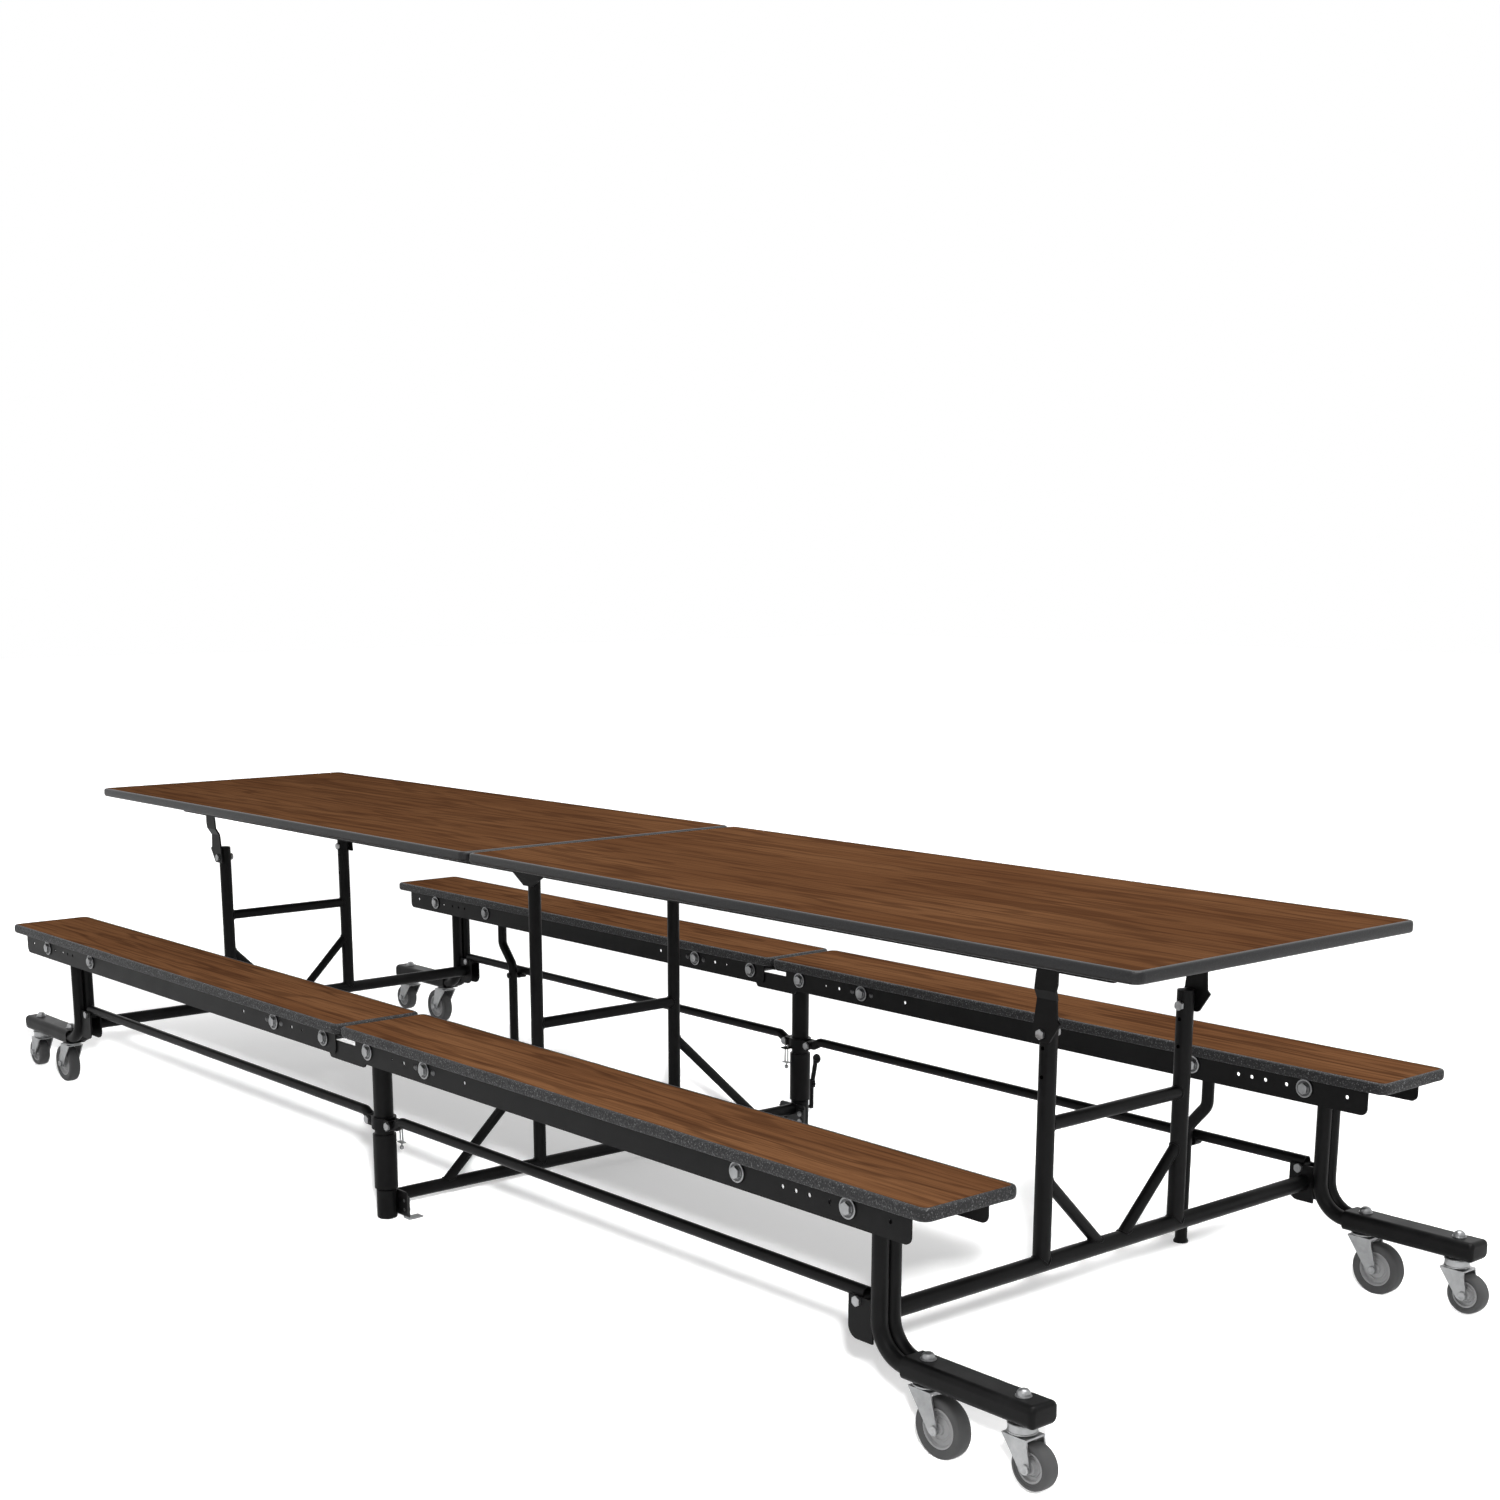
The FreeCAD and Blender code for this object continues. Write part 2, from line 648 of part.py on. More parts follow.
def end_leg(label, side, row):
    """Twin tubes, arm, clevis plates for the rod, and the stub that stops the other half."""
    bench_line = row * D.bench_y
    tubes, masks = [], []
    top = D.pivot_height + D.leg_rise
    reach = D.rail_half_spacing
    pivot_bore = bar(label + "_pivot_bore", D.kingpin_radius + D.running_gap,
                     (side * D.leg_x, bench_line - reach, D.pivot_height),
                     (side * D.leg_x, bench_line + reach, D.pivot_height))
    for number, sign in enumerate((-1, 1)):
        y = bench_line + sign * D.leg_pitch / 2
        tubes.append(cut(leg_tube("%s_tube%d" % (label, number), side, y), pivot_bore))
        masks.append(bar("%s_mask%d" % (label, number), D.leg_od / 2,
                         (side * D.leg_x, y, D.arm_height), (side * D.leg_x, y, top)))
    plates = []
    inner, outer = sorted((side * (D.leg_x - D.clevis_width), side * D.leg_x), key=float)
    corner = D.clevis_corner
    low, high = D.clevis_low, ROD_Z + D.clevis_over
    for number, sign in enumerate((-1, 1)):
        radii = (corner, 0) if side > 0 else (0, corner)
        outline = [(inner, low, radii[0]), (outer, low, radii[1]), (outer, high, 0), (inner, high, 0)]
        holes = [(side * END_ROD_X, ROD_Z, D.pin_radius)]
        sheet = plate("%s_clevis%d" % (label, number), "XZ_Plane", outline, D.plate_thickness, holes)
        place(sheet, 0, bench_line + sign * CLEVIS_Y, 0)
        plates.append(cut(sheet, *masks))
    stub_y = bench_line + row * D.stub_y
    stub_z = D.pivot_height - D.stub_drop
    stub_x = side * (D.leg_x - D.hinge_x + D.halves_stop)
    stub = tube(label + "_stub", D.stub_od, D.rod_wall, (stub_x, stub_y, stub_z),
                (side * D.leg_x, stub_y, stub_z), *masks)
    sub_part(label, *tubes, arm(label + "_arm", side, bench_line), *plates, stub)


# ---------------------------------------------------------------- end frame under the table top

def ladder(label, x, od, low, top, upright_y, rung_z, brace_top, brace_foot, cross_half, holes):
    """Cross tube, two uprights, a rung and two slanting braces, coped to each other."""
    cross_ends = (x, -cross_half, low), (x, cross_half, low)
    cross_mask = bar(label + "_cross_mask", od / 2, *cross_ends)
    solids = [tube(label + "_cross", od, D.tube_wall, *cross_ends)]
    upright_masks = []
    bores = [bar("%s_hole%d" % (label, number), radius, (x, -cross_half, z), (x, cross_half, z))
             for number, (z, radius) in enumerate(holes)]
    for row_name, row in ROWS:
        name = "%s_upright_%s" % (label, row_name)
        ends = (x, row * upright_y, low), (x, row * upright_y, top)
        upright_masks.append(bar(name + "_mask", od / 2, *ends))
        solids.append(tube(name, od, D.tube_wall, *ends, cross_mask, *bores))
    solids.append(tube(label + "_rung", D.rung_od, D.tube_wall, (x, -upright_y, rung_z),
                       (x, upright_y, rung_z), *upright_masks))
    for (row_name, row), mask in zip(ROWS, upright_masks):
        solids.append(tube("%s_brace_%s" % (label, row_name), D.brace_od, D.tube_wall,
                           (x, row * upright_y, brace_top), (x, row * brace_foot, low),
                           mask, cross_mask))
    return solids


def end_frame(label, side):
    """The frame between the two legs of one end."""
    holes = [(D.link_pivot_height, D.pin_radius),
             (D.link_pivot_height - D.spare_hole_step, D.rail_hole_radius),
             (D.link_pivot_height - 3 * D.spare_hole_step, D.rail_hole_radius)]
    cross_half = D.bench_y - CLEVIS_Y - D.plate_thickness / 2
    sub_part(label, *ladder(label, side * D.frame_x, D.frame_od, D.cross_height, D.upright_top,
                            D.upright_y, D.rung_height, D.brace_top, D.brace_foot_y, cross_half,
                            holes))


def end_bolts(label, side):
    """Dome nuts of the casters and the bolts of the rod and swing-link pivots."""
    bolts = []
    for row_name, row in ROWS:
        for number, offset in enumerate((0, D.caster_pitch)):
            bolts.append(copy_at(DOME_NUT, "%s_dome_%s%d" % (label, row_name, number),
                                 side * (D.caster_x + offset), row * D.bench_y,
                                 D.arm_height + D.arm_depth / 2))
        turn = 0 if row > 0 else 180
        reach = CLEVIS_Y + D.plate_thickness / 2
        bolts.append(copy_at(ROD_BOLT, "%s_rod_%s" % (label, row_name), side * END_ROD_X,
                             row * (D.bench_y + reach), ROD_Z, turn))
        face = D.upright_y + D.frame_od / 2 + D.link_gap + D.plate_thickness
        bolts.append(copy_at(UPRIGHT_BOLT, "%s_upright_%s" % (label, row_name), side * D.frame_x,
                             row * face, D.link_pivot_height, turn))
    sub_part(label, *bolts)


def swing_link(name):
    """Joggled flat link about its lower pivot: a bent strip, cut to its outline seen from the side."""
    rise = TOP_PIVOT_Z - D.link_pivot_height
    lean = D.top_pivot_x - D.frame_x
    ear = D.top_pivot_drop - D.sliding_gap
    top = rise + ear
    half = D.plate_thickness / 2
    joggle = D.link_joggle
    below, bend_start, bend_end, slant, wide = 30.0, 62.0, 80.0, 2.0, 120.0
    strip = [(-half, -below, 0), (half, -below, 0), (half, bend_start, 4.0), (joggle + half, bend_end, 4.0),
             (joggle + half, top + 5, 0), (joggle - half, top + 5, 0), (joggle - half, bend_end + slant, 4.0),
             (-half, bend_start + slant, 4.0)]
    bent = plate(name + "_strip", "YZ_Plane", strip, wide)
    pivot_hole = D.pin_radius + D.running_gap
    outline = [(-22.0, -14.0, 3.0), (17.0, -14.0, 8.0), (41.0, 22.0, 2.0), (34.0, 29.0, 2.0),
               (32.0, 60.0, 8.0), (lean + 24.0, 92.0, 8.0), (lean + 24.0, top, 14.0),
               (lean - 9.2, top, ear - 0.2), (lean - 24.0, rise - 34.0, 8.0), (-12.0, 60.0, 8.0)]
    face = plate(name + "_face", "XZ_Plane", outline, wide,
                 [(0, 0, pivot_hole), (lean, rise, pivot_hole)])
    return common(bent, face)


def other_hand(name, piece):
    """The piece mirrored across its own XZ plane."""
    twin = DOC.addObject("Part::Mirroring", name + "_twin")
    twin.Source = piece
    twin.Normal = vector(0, 1, 0)
    return twin


def swing_links(label, side):
    """The two swing links of one end, one of each hand."""
    y = D.upright_y + D.frame_od / 2 + D.link_gap + D.plate_thickness / 2
    links = []
    for row_name, row in ROWS:
        name = "%s_%s" % (label, row_name)
        link = swing_link(name)
        if side * row < 0:
            link = other_hand(name, link)
        links.append(place(link, side * D.frame_x, row * y, D.link_pivot_height, 0 if side > 0 else 180))
    sub_part(label, *links)


# ---------------------------------------------------------------- casters

def make_fork(name, radius, trail, axle_z):
    """Caster fork with its bearing and kingpin; the swivel axis is the local Z axis."""
    arm_low = D.arm_height - D.arm_depth / 2
    crown = axle_z + radius + 5.0
    inside = D.wheel_width / 2 + D.fork_gap
    outside = inside + D.fork_sheet
    body = DOC.addObject("PartDesign::Body", name + "_yoke")
    sketch = sketch_on(body, "XZ_Plane", name + "_side")
    top = crown + D.fork_sheet
    draw_path(sketch, [(trail - 10.0, axle_z - 9.0, 8.0), (trail + 10.0, axle_z - 9.0, 8.0),
                       (26.0, top, 0), (-24.0, top, 0)])
    draw_circle(sketch, trail, axle_z, D.axle_radius)
    pad = body.newObject("PartDesign::Pad", name + "_pad")
    pad.Profile = sketch
    pad.SideType = "Symmetric"
    bind(pad, "Length", 2 * outside)
    slot = sketch_on(body, "XZ_Plane", name + "_slot")
    draw_path(slot, box_outline(Dim.of(-60.0), Dim.of(90.0), axle_z - radius, crown))
    pocket = body.newObject("PartDesign::Pocket", name + "_gap")
    pocket.Profile = slot
    pocket.SideType = "Symmetric"
    bind(pocket, "Length", 2 * inside)
    race = revolved(name + "_race", "XZ_Plane",
                    [(0, top, 0), (19.0, top, 0), (23.0, top + 2.0, 0), (23.0, arm_low - 2.5, 0),
                     (17.0, arm_low - 0.3, 0), (D.kingpin_radius, arm_low - 0.3, 0),
                     (D.kingpin_radius, D.arm_height + D.arm_depth / 2, 0),
                     (0, D.arm_height + D.arm_depth / 2, 0)])
    head = D.axle_radius * 1.6
    tip = outside + 4.0
    axle = revolved(name + "_axle", "XY_Plane",
                    [(0, -tip, 0), (head, -tip, 0), (head, -outside, 0), (D.axle_radius, -outside, 0),
                     (D.axle_radius, outside, 0), (head, outside, 0), (head, tip, 0), (0, tip, 0)])
    place(axle, trail, 0, axle_z)
    solid = DOC.addObject("Part::Compound", name)
    solid.Links = [body, race, axle]
    return solid


def make_wheel(name, radius):
    """Tyre on a dished hub with a bore for the axle; the axle is the local Y axis."""
    half = D.wheel_width / 2
    rim = radius * 0.68
    bore = D.axle_radius + D.running_gap
    tyre = revolved(name + "_tyre", "XY_Plane",
                    [(rim, -half + 3.0, 0), (radius - 5.0, -half, 3.0), (radius, -half + 4.0, 3.0),
                     (radius, half - 4.0, 3.0), (radius - 5.0, half, 3.0), (rim, half - 3.0, 0)])
    hub = revolved(name + "_hub", "XY_Plane",
                   [(bore, -half, 0), (bore + 5.0, -half, 0), (bore + 6.0, -half + 7.0, 0),
                    (rim - 6.0, -half + 7.0, 0), (rim - 3.0, -half + 3.0, 0), (rim, -half + 3.0, 0),
                    (rim, half - 3.0, 0), (rim - 3.0, half - 3.0, 0), (rim - 6.0, half - 7.0, 0),
                    (bore + 6.0, half - 7.0, 0), (bore + 5.0, half, 0), (bore, half, 0)])
    solid = DOC.addObject("Part::Compound", name)
    solid.Links = [tyre, hub]
    return solid


def casters():
    """A large inner and a small outer caster on each of the four arms."""
    small_z = D.small_wheel_radius + D.small_wheel_lift
    kinds = (
        ("inner", Dim.of(0), D.big_trail, D.big_wheel_radius,
         make_fork("big_fork", D.big_wheel_radius, D.big_trail, D.big_wheel_radius),
         make_wheel("big_wheel", D.big_wheel_radius)),
        ("outer", D.caster_pitch, D.small_trail, small_z,
         make_fork("small_fork", D.small_wheel_radius, D.small_trail, small_z),
         make_wheel("small_wheel", D.small_wheel_radius)),
    )
    for side_name, side in SIDES:
        turn = 0 if side > 0 else 180
        for row_name, row in ROWS:
            for kind, offset, trail, axle_z, fork, wheel in kinds:
                x = side * (D.caster_x + offset)
                where = "%s_%s_%s" % (side_name, row_name, kind)
                y = row * D.bench_y
                sub_part("caster_fork_" + where, copy_at(fork, "fork_" + where, x, y, 0, turn))
                sub_part("caster_wheel_" + where,
                         copy_at(wheel, "wheel_" + where, x + side * trail, y, axle_z, turn))


# ---------------------------------------------------------------- rods and supports

def make_rod(name, eye_places):
    """Stabilizer rod from the centre leg's pivot along +X, with an eye at each pivot."""
    length = END_ROD_X - CENTRE_ROD_X
    lift = D.rod_lift
    path = [(0, 0, 0), (10.0, 0, 14.0), (D.rod_jog, lift, 14.0), (length + 8.0, lift, 0)]
    rod = bent_tube(name + "_tube", "YZ_Plane", path, D.rod_od, D.rod_wall)
    eyes, bores = [], []
    for number, x in enumerate(eye_places):
        eyes.append(bar("%s_eye%d" % (name, number), D.eye_radius, (x, -EYE_HALF, 0), (x, EYE_HALF, 0)))
        bores.append(bar("%s_bore%d" % (name, number), D.pin_radius + D.running_gap,
                         (x, -2 * EYE_HALF, 0), (x, 2 * EYE_HALF, 0)))
    return cut(fuse(rod, *eyes), *bores)


def stabilizer_rods():
    """The four rods; the two far ones have a third eye for the support leg's pin."""
    ends = [Dim.of(0), END_ROD_X - CENTRE_ROD_X]
    rods = {"near": make_rod("near_rod", ends),
            "far": make_rod("far_rod", ends + [SUPPORT_FOOT_X - CENTRE_ROD_X])}
    for side_name, side in SIDES:
        for row_name, row in ROWS:
            where = "%s_%s" % (side_name, row_name)
            rod = copy_at(rods[row_name], "rod_" + where, side * CENTRE_ROD_X, row * D.bench_y, ROD_Z,
                          0 if side > 0 else 180)
            sub_part("stabilizer_rod_" + where, rod)


def make_support():
    """Dog-leg tube hung from its upper eye, and its flared foot; both are turned as one."""
    drop = D.pivot_height - D.support_jog_top
    low = D.pivot_height - D.support_jog_low
    back = D.rod_back
    half = D.support_od / 2
    lip, tread = 3.0, 12.0
    path = [(0, 0, 0), (0, -drop, 30.0), (-back, -low, 30.0), (-back, tread - D.pivot_height, 0)]
    leg = bent_tube("support_tube", "XY_Plane", path, D.support_od, D.tube_wall)
    eye = bar("support_eye", half, (0, -half, 0), (0, half, 0))
    bore = bar("support_bore", D.kingpin_radius + D.running_gap, (0, -2 * half, 0), (0, 2 * half, 0))
    pin_hole = bar("support_pin_hole", D.pin_radius, (-back, -2 * half, -D.rod_drop),
                   (-back, 2 * half, -D.rod_drop))
    foot = revolved("support_foot", "XZ_Plane",
                    [(0, 0, 0), (half + lip, 0, 0), (half + lip, lip, 0), (half, tread - lip, 0),
                     (half, tread, 0), (0, tread, 0)])
    place(foot, -back, 0, -D.pivot_height)
    support = DOC.addObject("Part::Compound", "support")
    support.Links = [cut(fuse(leg, eye), bore, pin_hole), foot]
    return support


def support_legs():
    """The two dog-leg legs of the far bench, each with the pin that meets a rod."""
    support = make_support()
    for side_name, side in SIDES:
        turned = copy_at(support, "support_" + side_name, side * D.support_x, SUPPORT_Y, D.pivot_height,
                         0 if side > 0 else 180)
        head_y = SUPPORT_Y - D.support_od / 2
        x = side * SUPPORT_FOOT_X
        pin = bar("support_pin_" + side_name, D.pin_radius, (x, head_y, ROD_Z),
                  (x, D.bench_y + EYE_HALF, ROD_Z))
        head = bar("support_head_" + side_name, D.pin_radius * 1.6, (x, head_y - 4.0, ROD_Z),
                   (x, head_y, ROD_Z))
        sub_part("support_leg_" + side_name, turned, fuse(pin, head))


# ---------------------------------------------------------------- hinge links and centre legs

def hinge_link(label, row):
    """Two stepped side plates that carry the bench pivots, and the plate that joins them."""
    z = D.pivot_height
    hinge, low = D.hinge_x, z - D.link_plate_low
    ear, shoulder = 17.0, 36.0
    outline = [(-68.0, low, 8.0), (68.0, low, 8.0), (hinge - 8.0, z - ear, 10.0),
               (hinge + ear, z - ear, ear - 1), (hinge + ear, z + ear, ear - 1), (hinge - ear, z + ear, 6.0),
               (shoulder + 12.0, z + 1.0, 6.0), (-shoulder - 12.0, z + 1.0, 6.0), (ear - hinge, z + ear, 6.0),
               (-hinge - ear, z + ear, ear - 1), (-hinge - ear, z - ear, ear - 1),
               (8.0 - hinge, z - ear, 10.0)]
    bore = D.kingpin_radius + D.running_gap
    holes = [(-hinge, z, bore), (hinge, z, bore)]
    plates = []
    for number, sign in enumerate((-1, 1)):
        sheet = plate("%s_plate%d" % (label, number), "XZ_Plane", outline, D.plate_thickness, holes)
        plates.append(place(sheet, 0, row * D.bench_y + sign * LINK_PLATE_Y, 0))
    wide, deep = D.saddle_width / 2, LINK_PLATE_Y - D.plate_thickness / 2
    saddle = block(label + "_saddle", (-wide, wide), (row * D.bench_y - deep, row * D.bench_y + deep),
                   (SADDLE_LOW, SADDLE_LOW + D.plate_thickness))
    sub_part(label, *plates, saddle)


def collar(name, y, mask):
    """Clamp round the centre leg with a pair of lugs on each side for the rods."""
    ring = bar(name + "_ring", D.collar_od / 2, (0, y, ROD_Z - D.collar_half_height),
               (0, y, ROD_Z + D.collar_half_height))
    reach = CENTRE_ROD_X + D.eye_radius
    outline = box_outline(-reach, reach, ROD_Z - D.eye_radius, ROD_Z + D.eye_radius, D.eye_radius - 1)
    holes = [(-CENTRE_ROD_X, ROD_Z, D.pin_radius), (CENTRE_ROD_X, ROD_Z, D.pin_radius)]
    lugs = []
    for number, sign in enumerate((-1, 1)):
        lug = plate("%s_lug%d" % (name, number), "XZ_Plane", outline, D.plate_thickness, holes)
        lugs.append(place(lug, 0, y + sign * CLEVIS_Y, 0))
    return cut(fuse(ring, *lugs), mask)


def centre_leg(label, row):
    """Outer tube of the telescoping leg, its lower sleeve, collar and lock brackets."""
    y = row * D.bench_y
    top = SADDLE_LOW
    tube_solid = tube(label + "_tube", D.outer_tube_od, D.tube_wall, (0, y, D.outer_tube_low), (0, y, top))
    wall = (D.lower_sleeve_od - D.outer_tube_od) / 2
    sleeve = tube(label + "_sleeve", D.lower_sleeve_od, wall, (0, y, D.outer_tube_low),
                  (0, y, D.lower_sleeve_top))
    mask = bar(label + "_mask", D.outer_tube_od / 2, (0, y, D.outer_tube_low), (0, y, top))
    collar_mask = bar(label + "_collar_mask", D.collar_od / 2, (0, y, ROD_Z - D.collar_half_height),
                      (0, y, ROD_Z + D.collar_half_height))
    ledge = lock_ledge(label + "_ledge", row, collar_mask)
    solids = [tube_solid, sleeve, collar(label + "_collar", y, mask), ledge]
    if row > 0:
        solids += lever_ears(label + "_lever", y)
    sub_part(label, *solids)


def lock_place(row):
    """Where the pull pin of one leg hangs: beside the leg, on its inner side."""
    return -row * D.lock_x, row * (D.bench_y - D.lock_out)


def lock_ledge(name, row, collar_mask):
    """Small ledge on the collar, bored for the pull pin's two rods."""
    x, y = lock_place(row)
    low = ROD_Z - D.collar_half_height
    half = 2 * D.lock_half_spacing
    lug = row * (D.bench_y - CLEVIS_Y - D.plate_thickness / 2)
    ledge = block(name, (x - half, x + half), (lug, y - row * half), (low, low + D.foot_sheet))
    radius = D.lock_rod_radius + D.running_gap
    holes = [bar("%s_hole%d" % (name, number), radius, (x + step, y, low - half), (x + step, y, low + half))
             for number, step in enumerate((-D.lock_half_spacing, D.lock_half_spacing))]
    return cut(ledge, collar_mask, *holes)


def lever_ears(name, y):
    """Two ears on the far leg's sleeve and the pin that they hold."""
    mask = bar(name + "_mask", D.lower_sleeve_od / 2, (0, y, D.outer_tube_low), (0, y, D.lower_sleeve_top))
    inner = D.lever_width / 2 + D.sliding_gap
    outer = inner + D.lever_ear
    pin = D.lever_pin_radius
    reach = y + D.lever_out
    pin_bore = bar(name + "_pin_bore", pin, (-outer, reach, D.lever_height), (outer, reach, D.lever_height))
    ears = []
    for number, sign in enumerate((-1, 1)):
        ear = block("%s_ear%d" % (name, number), (sign * inner, sign * outer), (y, reach + 2 * pin),
                    (D.lever_height - 3 * pin, D.lever_height + 3 * pin))
        ears.append(cut(ear, mask, pin_bore))
    pin = revolved(name + "_pin", "XY_Plane",
                   [(0, -outer - pin, 0), (1.6 * pin, -outer - pin, 0), (1.6 * pin, -outer, 0),
                    (pin, -outer, 0), (pin, outer, 0), (1.6 * pin, outer, 0), (1.6 * pin, outer + pin, 0),
                    (0, outer + pin, 0)])
    return ears + [place(pin, 0, reach, D.lever_height, 90)]


def lock_pin(label, row):
    """Pull pin under the collar: two thin rods, a cross plate, a neck and a ball."""
    x, y = lock_place(row)
    seat = ROD_Z - D.collar_half_height
    low = seat - D.lock_drop
    step, radius = D.lock_half_spacing, D.lock_rod_radius
    sheet, neck, ball_radius = 2.5, 8.0, 5.0
    rods = [bar("%s_rod%d" % (label, number), radius, (x + side, y, low), (x + side, y, seat + 2 * step))
            for number, side in enumerate((-step, step))]
    bridge = block(label + "_bridge", (x - 2 * step, x + 2 * step), (y - step, y + step), (low - sheet, low))
    stem = bar(label + "_stem", radius, (x, y, low - sheet - neck), (x, y, low - sheet))
    ball = DOC.addObject("Part::Sphere", label + "_ball")
    bind(ball, "Radius", ball_radius)
    place(ball, x, y, low - sheet - neck - ball_radius / 2)
    sub_part(label, fuse(bridge, stem, ball), *rods)


def lock_lever(label):
    """Release lever of the far leg: a cranked bar with a hooked tail and a round knob."""
    lean, rise, tail, sheet = 12.0, 50.0, 64.0, 4.0
    outline = [(0, -tail, 0), (-5.0, -tail, 0), (-5.0, sheet - tail, 0), (0, 2 * sheet - tail, 2.0),
               (0, -8.0, 6.0), (lean, rise, 4.0), (lean, rise + 8.0, 0), (lean + sheet, rise + 8.0, 0),
               (lean + sheet, rise - 2.0, 4.0), (sheet, -10.0, 6.0), (sheet, -tail, 2.0)]
    lever = plate(label + "_bar", "YZ_Plane", outline, D.lever_width)
    half = D.lever_width / 2
    pin = D.lever_pin_radius
    hub = bar(label + "_hub", 2 * pin, (-half, 0, 0), (half, 0, 0))
    hole = bar(label + "_hole", pin + D.running_gap, (-2 * half, 0, 0), (2 * half, 0, 0))
    knob = revolved(label + "_knob", "XY_Plane",
                    [(0, 0, 0), (11.0, 0, 2.0), (12.5, 4.0, 2.0), (11.0, 8.0, 2.0), (0, 8.0, 0)])
    place(knob, 0, lean + sheet - 1.0, rise + 12.0)
    solid = cut(fuse(lever, hub, knob), hole)
    place(solid, 0, D.bench_y + D.lever_out, D.lever_height)
    sub_part(label, solid)


def centre_leg_bolts(label):
    """Bolts of the rods' inner pivots."""
    bolts = []
    for side_name, side in SIDES:
        for row_name, row in ROWS:
            y = row * (D.bench_y + CLEVIS_Y + D.plate_thickness / 2)
            bolts.append(copy_at(ROD_BOLT, "%s_%s_%s" % (label, side_name, row_name),
                                 side * CENTRE_ROD_X, y, ROD_Z, 0 if row > 0 else 180))
    sub_part(label, *bolts)


# ---------------------------------------------------------------- centre frame

def centre_frame(label):
    """The frame between the telescoping legs, in the middle of the table."""
    cross_half = D.bench_y - D.boot_od / 2 - D.plate_thickness
    sub_part(label, *ladder(label, Dim.of(0), D.centre_od, D.base_height, D.centre_upright_top,
                            D.centre_upright_y, D.centre_rung_height, D.centre_brace_top,
                            D.centre_brace_foot_y, cross_half, []))


def telescoping_legs(label):
    """The two inner tubes that slide in the centre legs, each in a closed boot."""
    inner, outer = D.inner_tube_od / 2, D.boot_od / 2
    low, seat, top = D.boot_low, D.inner_tube_low, D.outer_tube_low - D.boot_gap
    boot = revolved(label + "_boot", "XZ_Plane",
                    [(0, low, 0), (outer, low, 4.0), (outer, top, 2.0), (inner, top, 0),
                     (inner, seat, 0), (0, seat, 0)])
    solids = []
    for row_name, row in ROWS:
        y = row * D.bench_y
        solids.append(tube("%s_%s" % (label, row_name), D.inner_tube_od, D.tube_wall,
                           (0, y, seat), (0, y, D.inner_tube_top)))
        solids.append(copy_at(boot, "%s_boot_%s" % (label, row_name), 0, y, 0))
    sub_part(label, *solids)


def centre_gussets(label):
    """Tee-shaped plates at the head of the centre frame that carry the inner top pivots."""
    ear = D.top_pivot_drop - D.sliding_gap
    pivot, z = D.centre_pivot_x, TOP_PIVOT_Z
    stem = D.centre_od / 2 + 2
    edge = pivot + ear
    outline = [(-stem, D.gusset_low, 3.0), (stem, D.gusset_low, 3.0), (pivot, z - ear, 16.0),
               (edge, z - ear + 6.0, 9.0), (edge, z + ear, ear - 1), (-edge, z + ear, ear - 1),
               (-edge, z - ear + 6.0, 9.0), (-pivot, z - ear, 16.0)]
    y = D.centre_upright_y + D.centre_od / 2 + D.plate_thickness / 2
    plates = []
    for row_name, row in ROWS:
        sheet = plate("%s_%s" % (label, row_name), "XZ_Plane", outline, D.plate_thickness)
        plates.append(place(sheet, 0, row * y, 0))
    sub_part(label, *plates)


def centre_feet(label):
    """Base plates on the telescoping legs and the bent zinc feet bolted to them."""
    solids = []
    half = D.base_plate_half_width
    margin = 10.0
    levels = (D.foot_bolt_low, D.foot_bolt_high)
    for row_name, row in ROWS:
        name = "%s_%s" % (label, row_name)
        inner = D.bench_y - D.boot_od / 2
        holes = [(side * D.foot_bolt_x, z, D.foot_bolt_radius) for _, side in SIDES for z in levels]
        base = plate(name + "_base", "XZ_Plane", box_outline(-half, half, Dim.of(8.0), D.base_plate_top, 8.0),
                     D.plate_thickness, holes)
        place(base, 0, row * (inner - D.plate_thickness / 2), 0)
        solids.append(base)
        back = inner - D.plate_thickness
        for side_name, side in SIDES:
            x = (side * D.foot_inset, side * half)
            part = "%s_%s" % (name, side_name)
            upright = block(part + "_upright", x, (row * (back - D.foot_sheet), row * back),
                            (0, D.foot_bolt_high + margin))
            sole = block(part + "_sole", x, (row * (back - D.foot_depth), row * back), (0, D.foot_sheet))
            bores = [bar("%s_bore%d" % (part, number), D.foot_bolt_radius,
                         (side * D.foot_bolt_x, row * (back - margin), z),
                         (side * D.foot_bolt_x, row * (back + margin), z)) for number, z in enumerate(levels)]
            solids.append(cut(fuse(upright, sole), *bores))
    sub_part(label, *solids)


def centre_frame_bolts(label):
    """Bolts of the feet, and the short bolts in the gussets' pivots."""
    bolts = []
    back = D.bench_y - D.boot_od / 2 - D.plate_thickness - D.foot_sheet
    for row_name, row in ROWS:
        turn = 180 if row > 0 else 0
        for side_name, side in SIDES:
            for number, z in enumerate((D.foot_bolt_low, D.foot_bolt_high)):
                name = "%s_%s_%s_%d" % (label, row_name, side_name, number)
                bolts.append(copy_at(FOOT_BOLT, name, side * D.foot_bolt_x, row * back, z, turn))
    sub_part(label, *bolts)


# ---------------------------------------------------------------- bench bolts

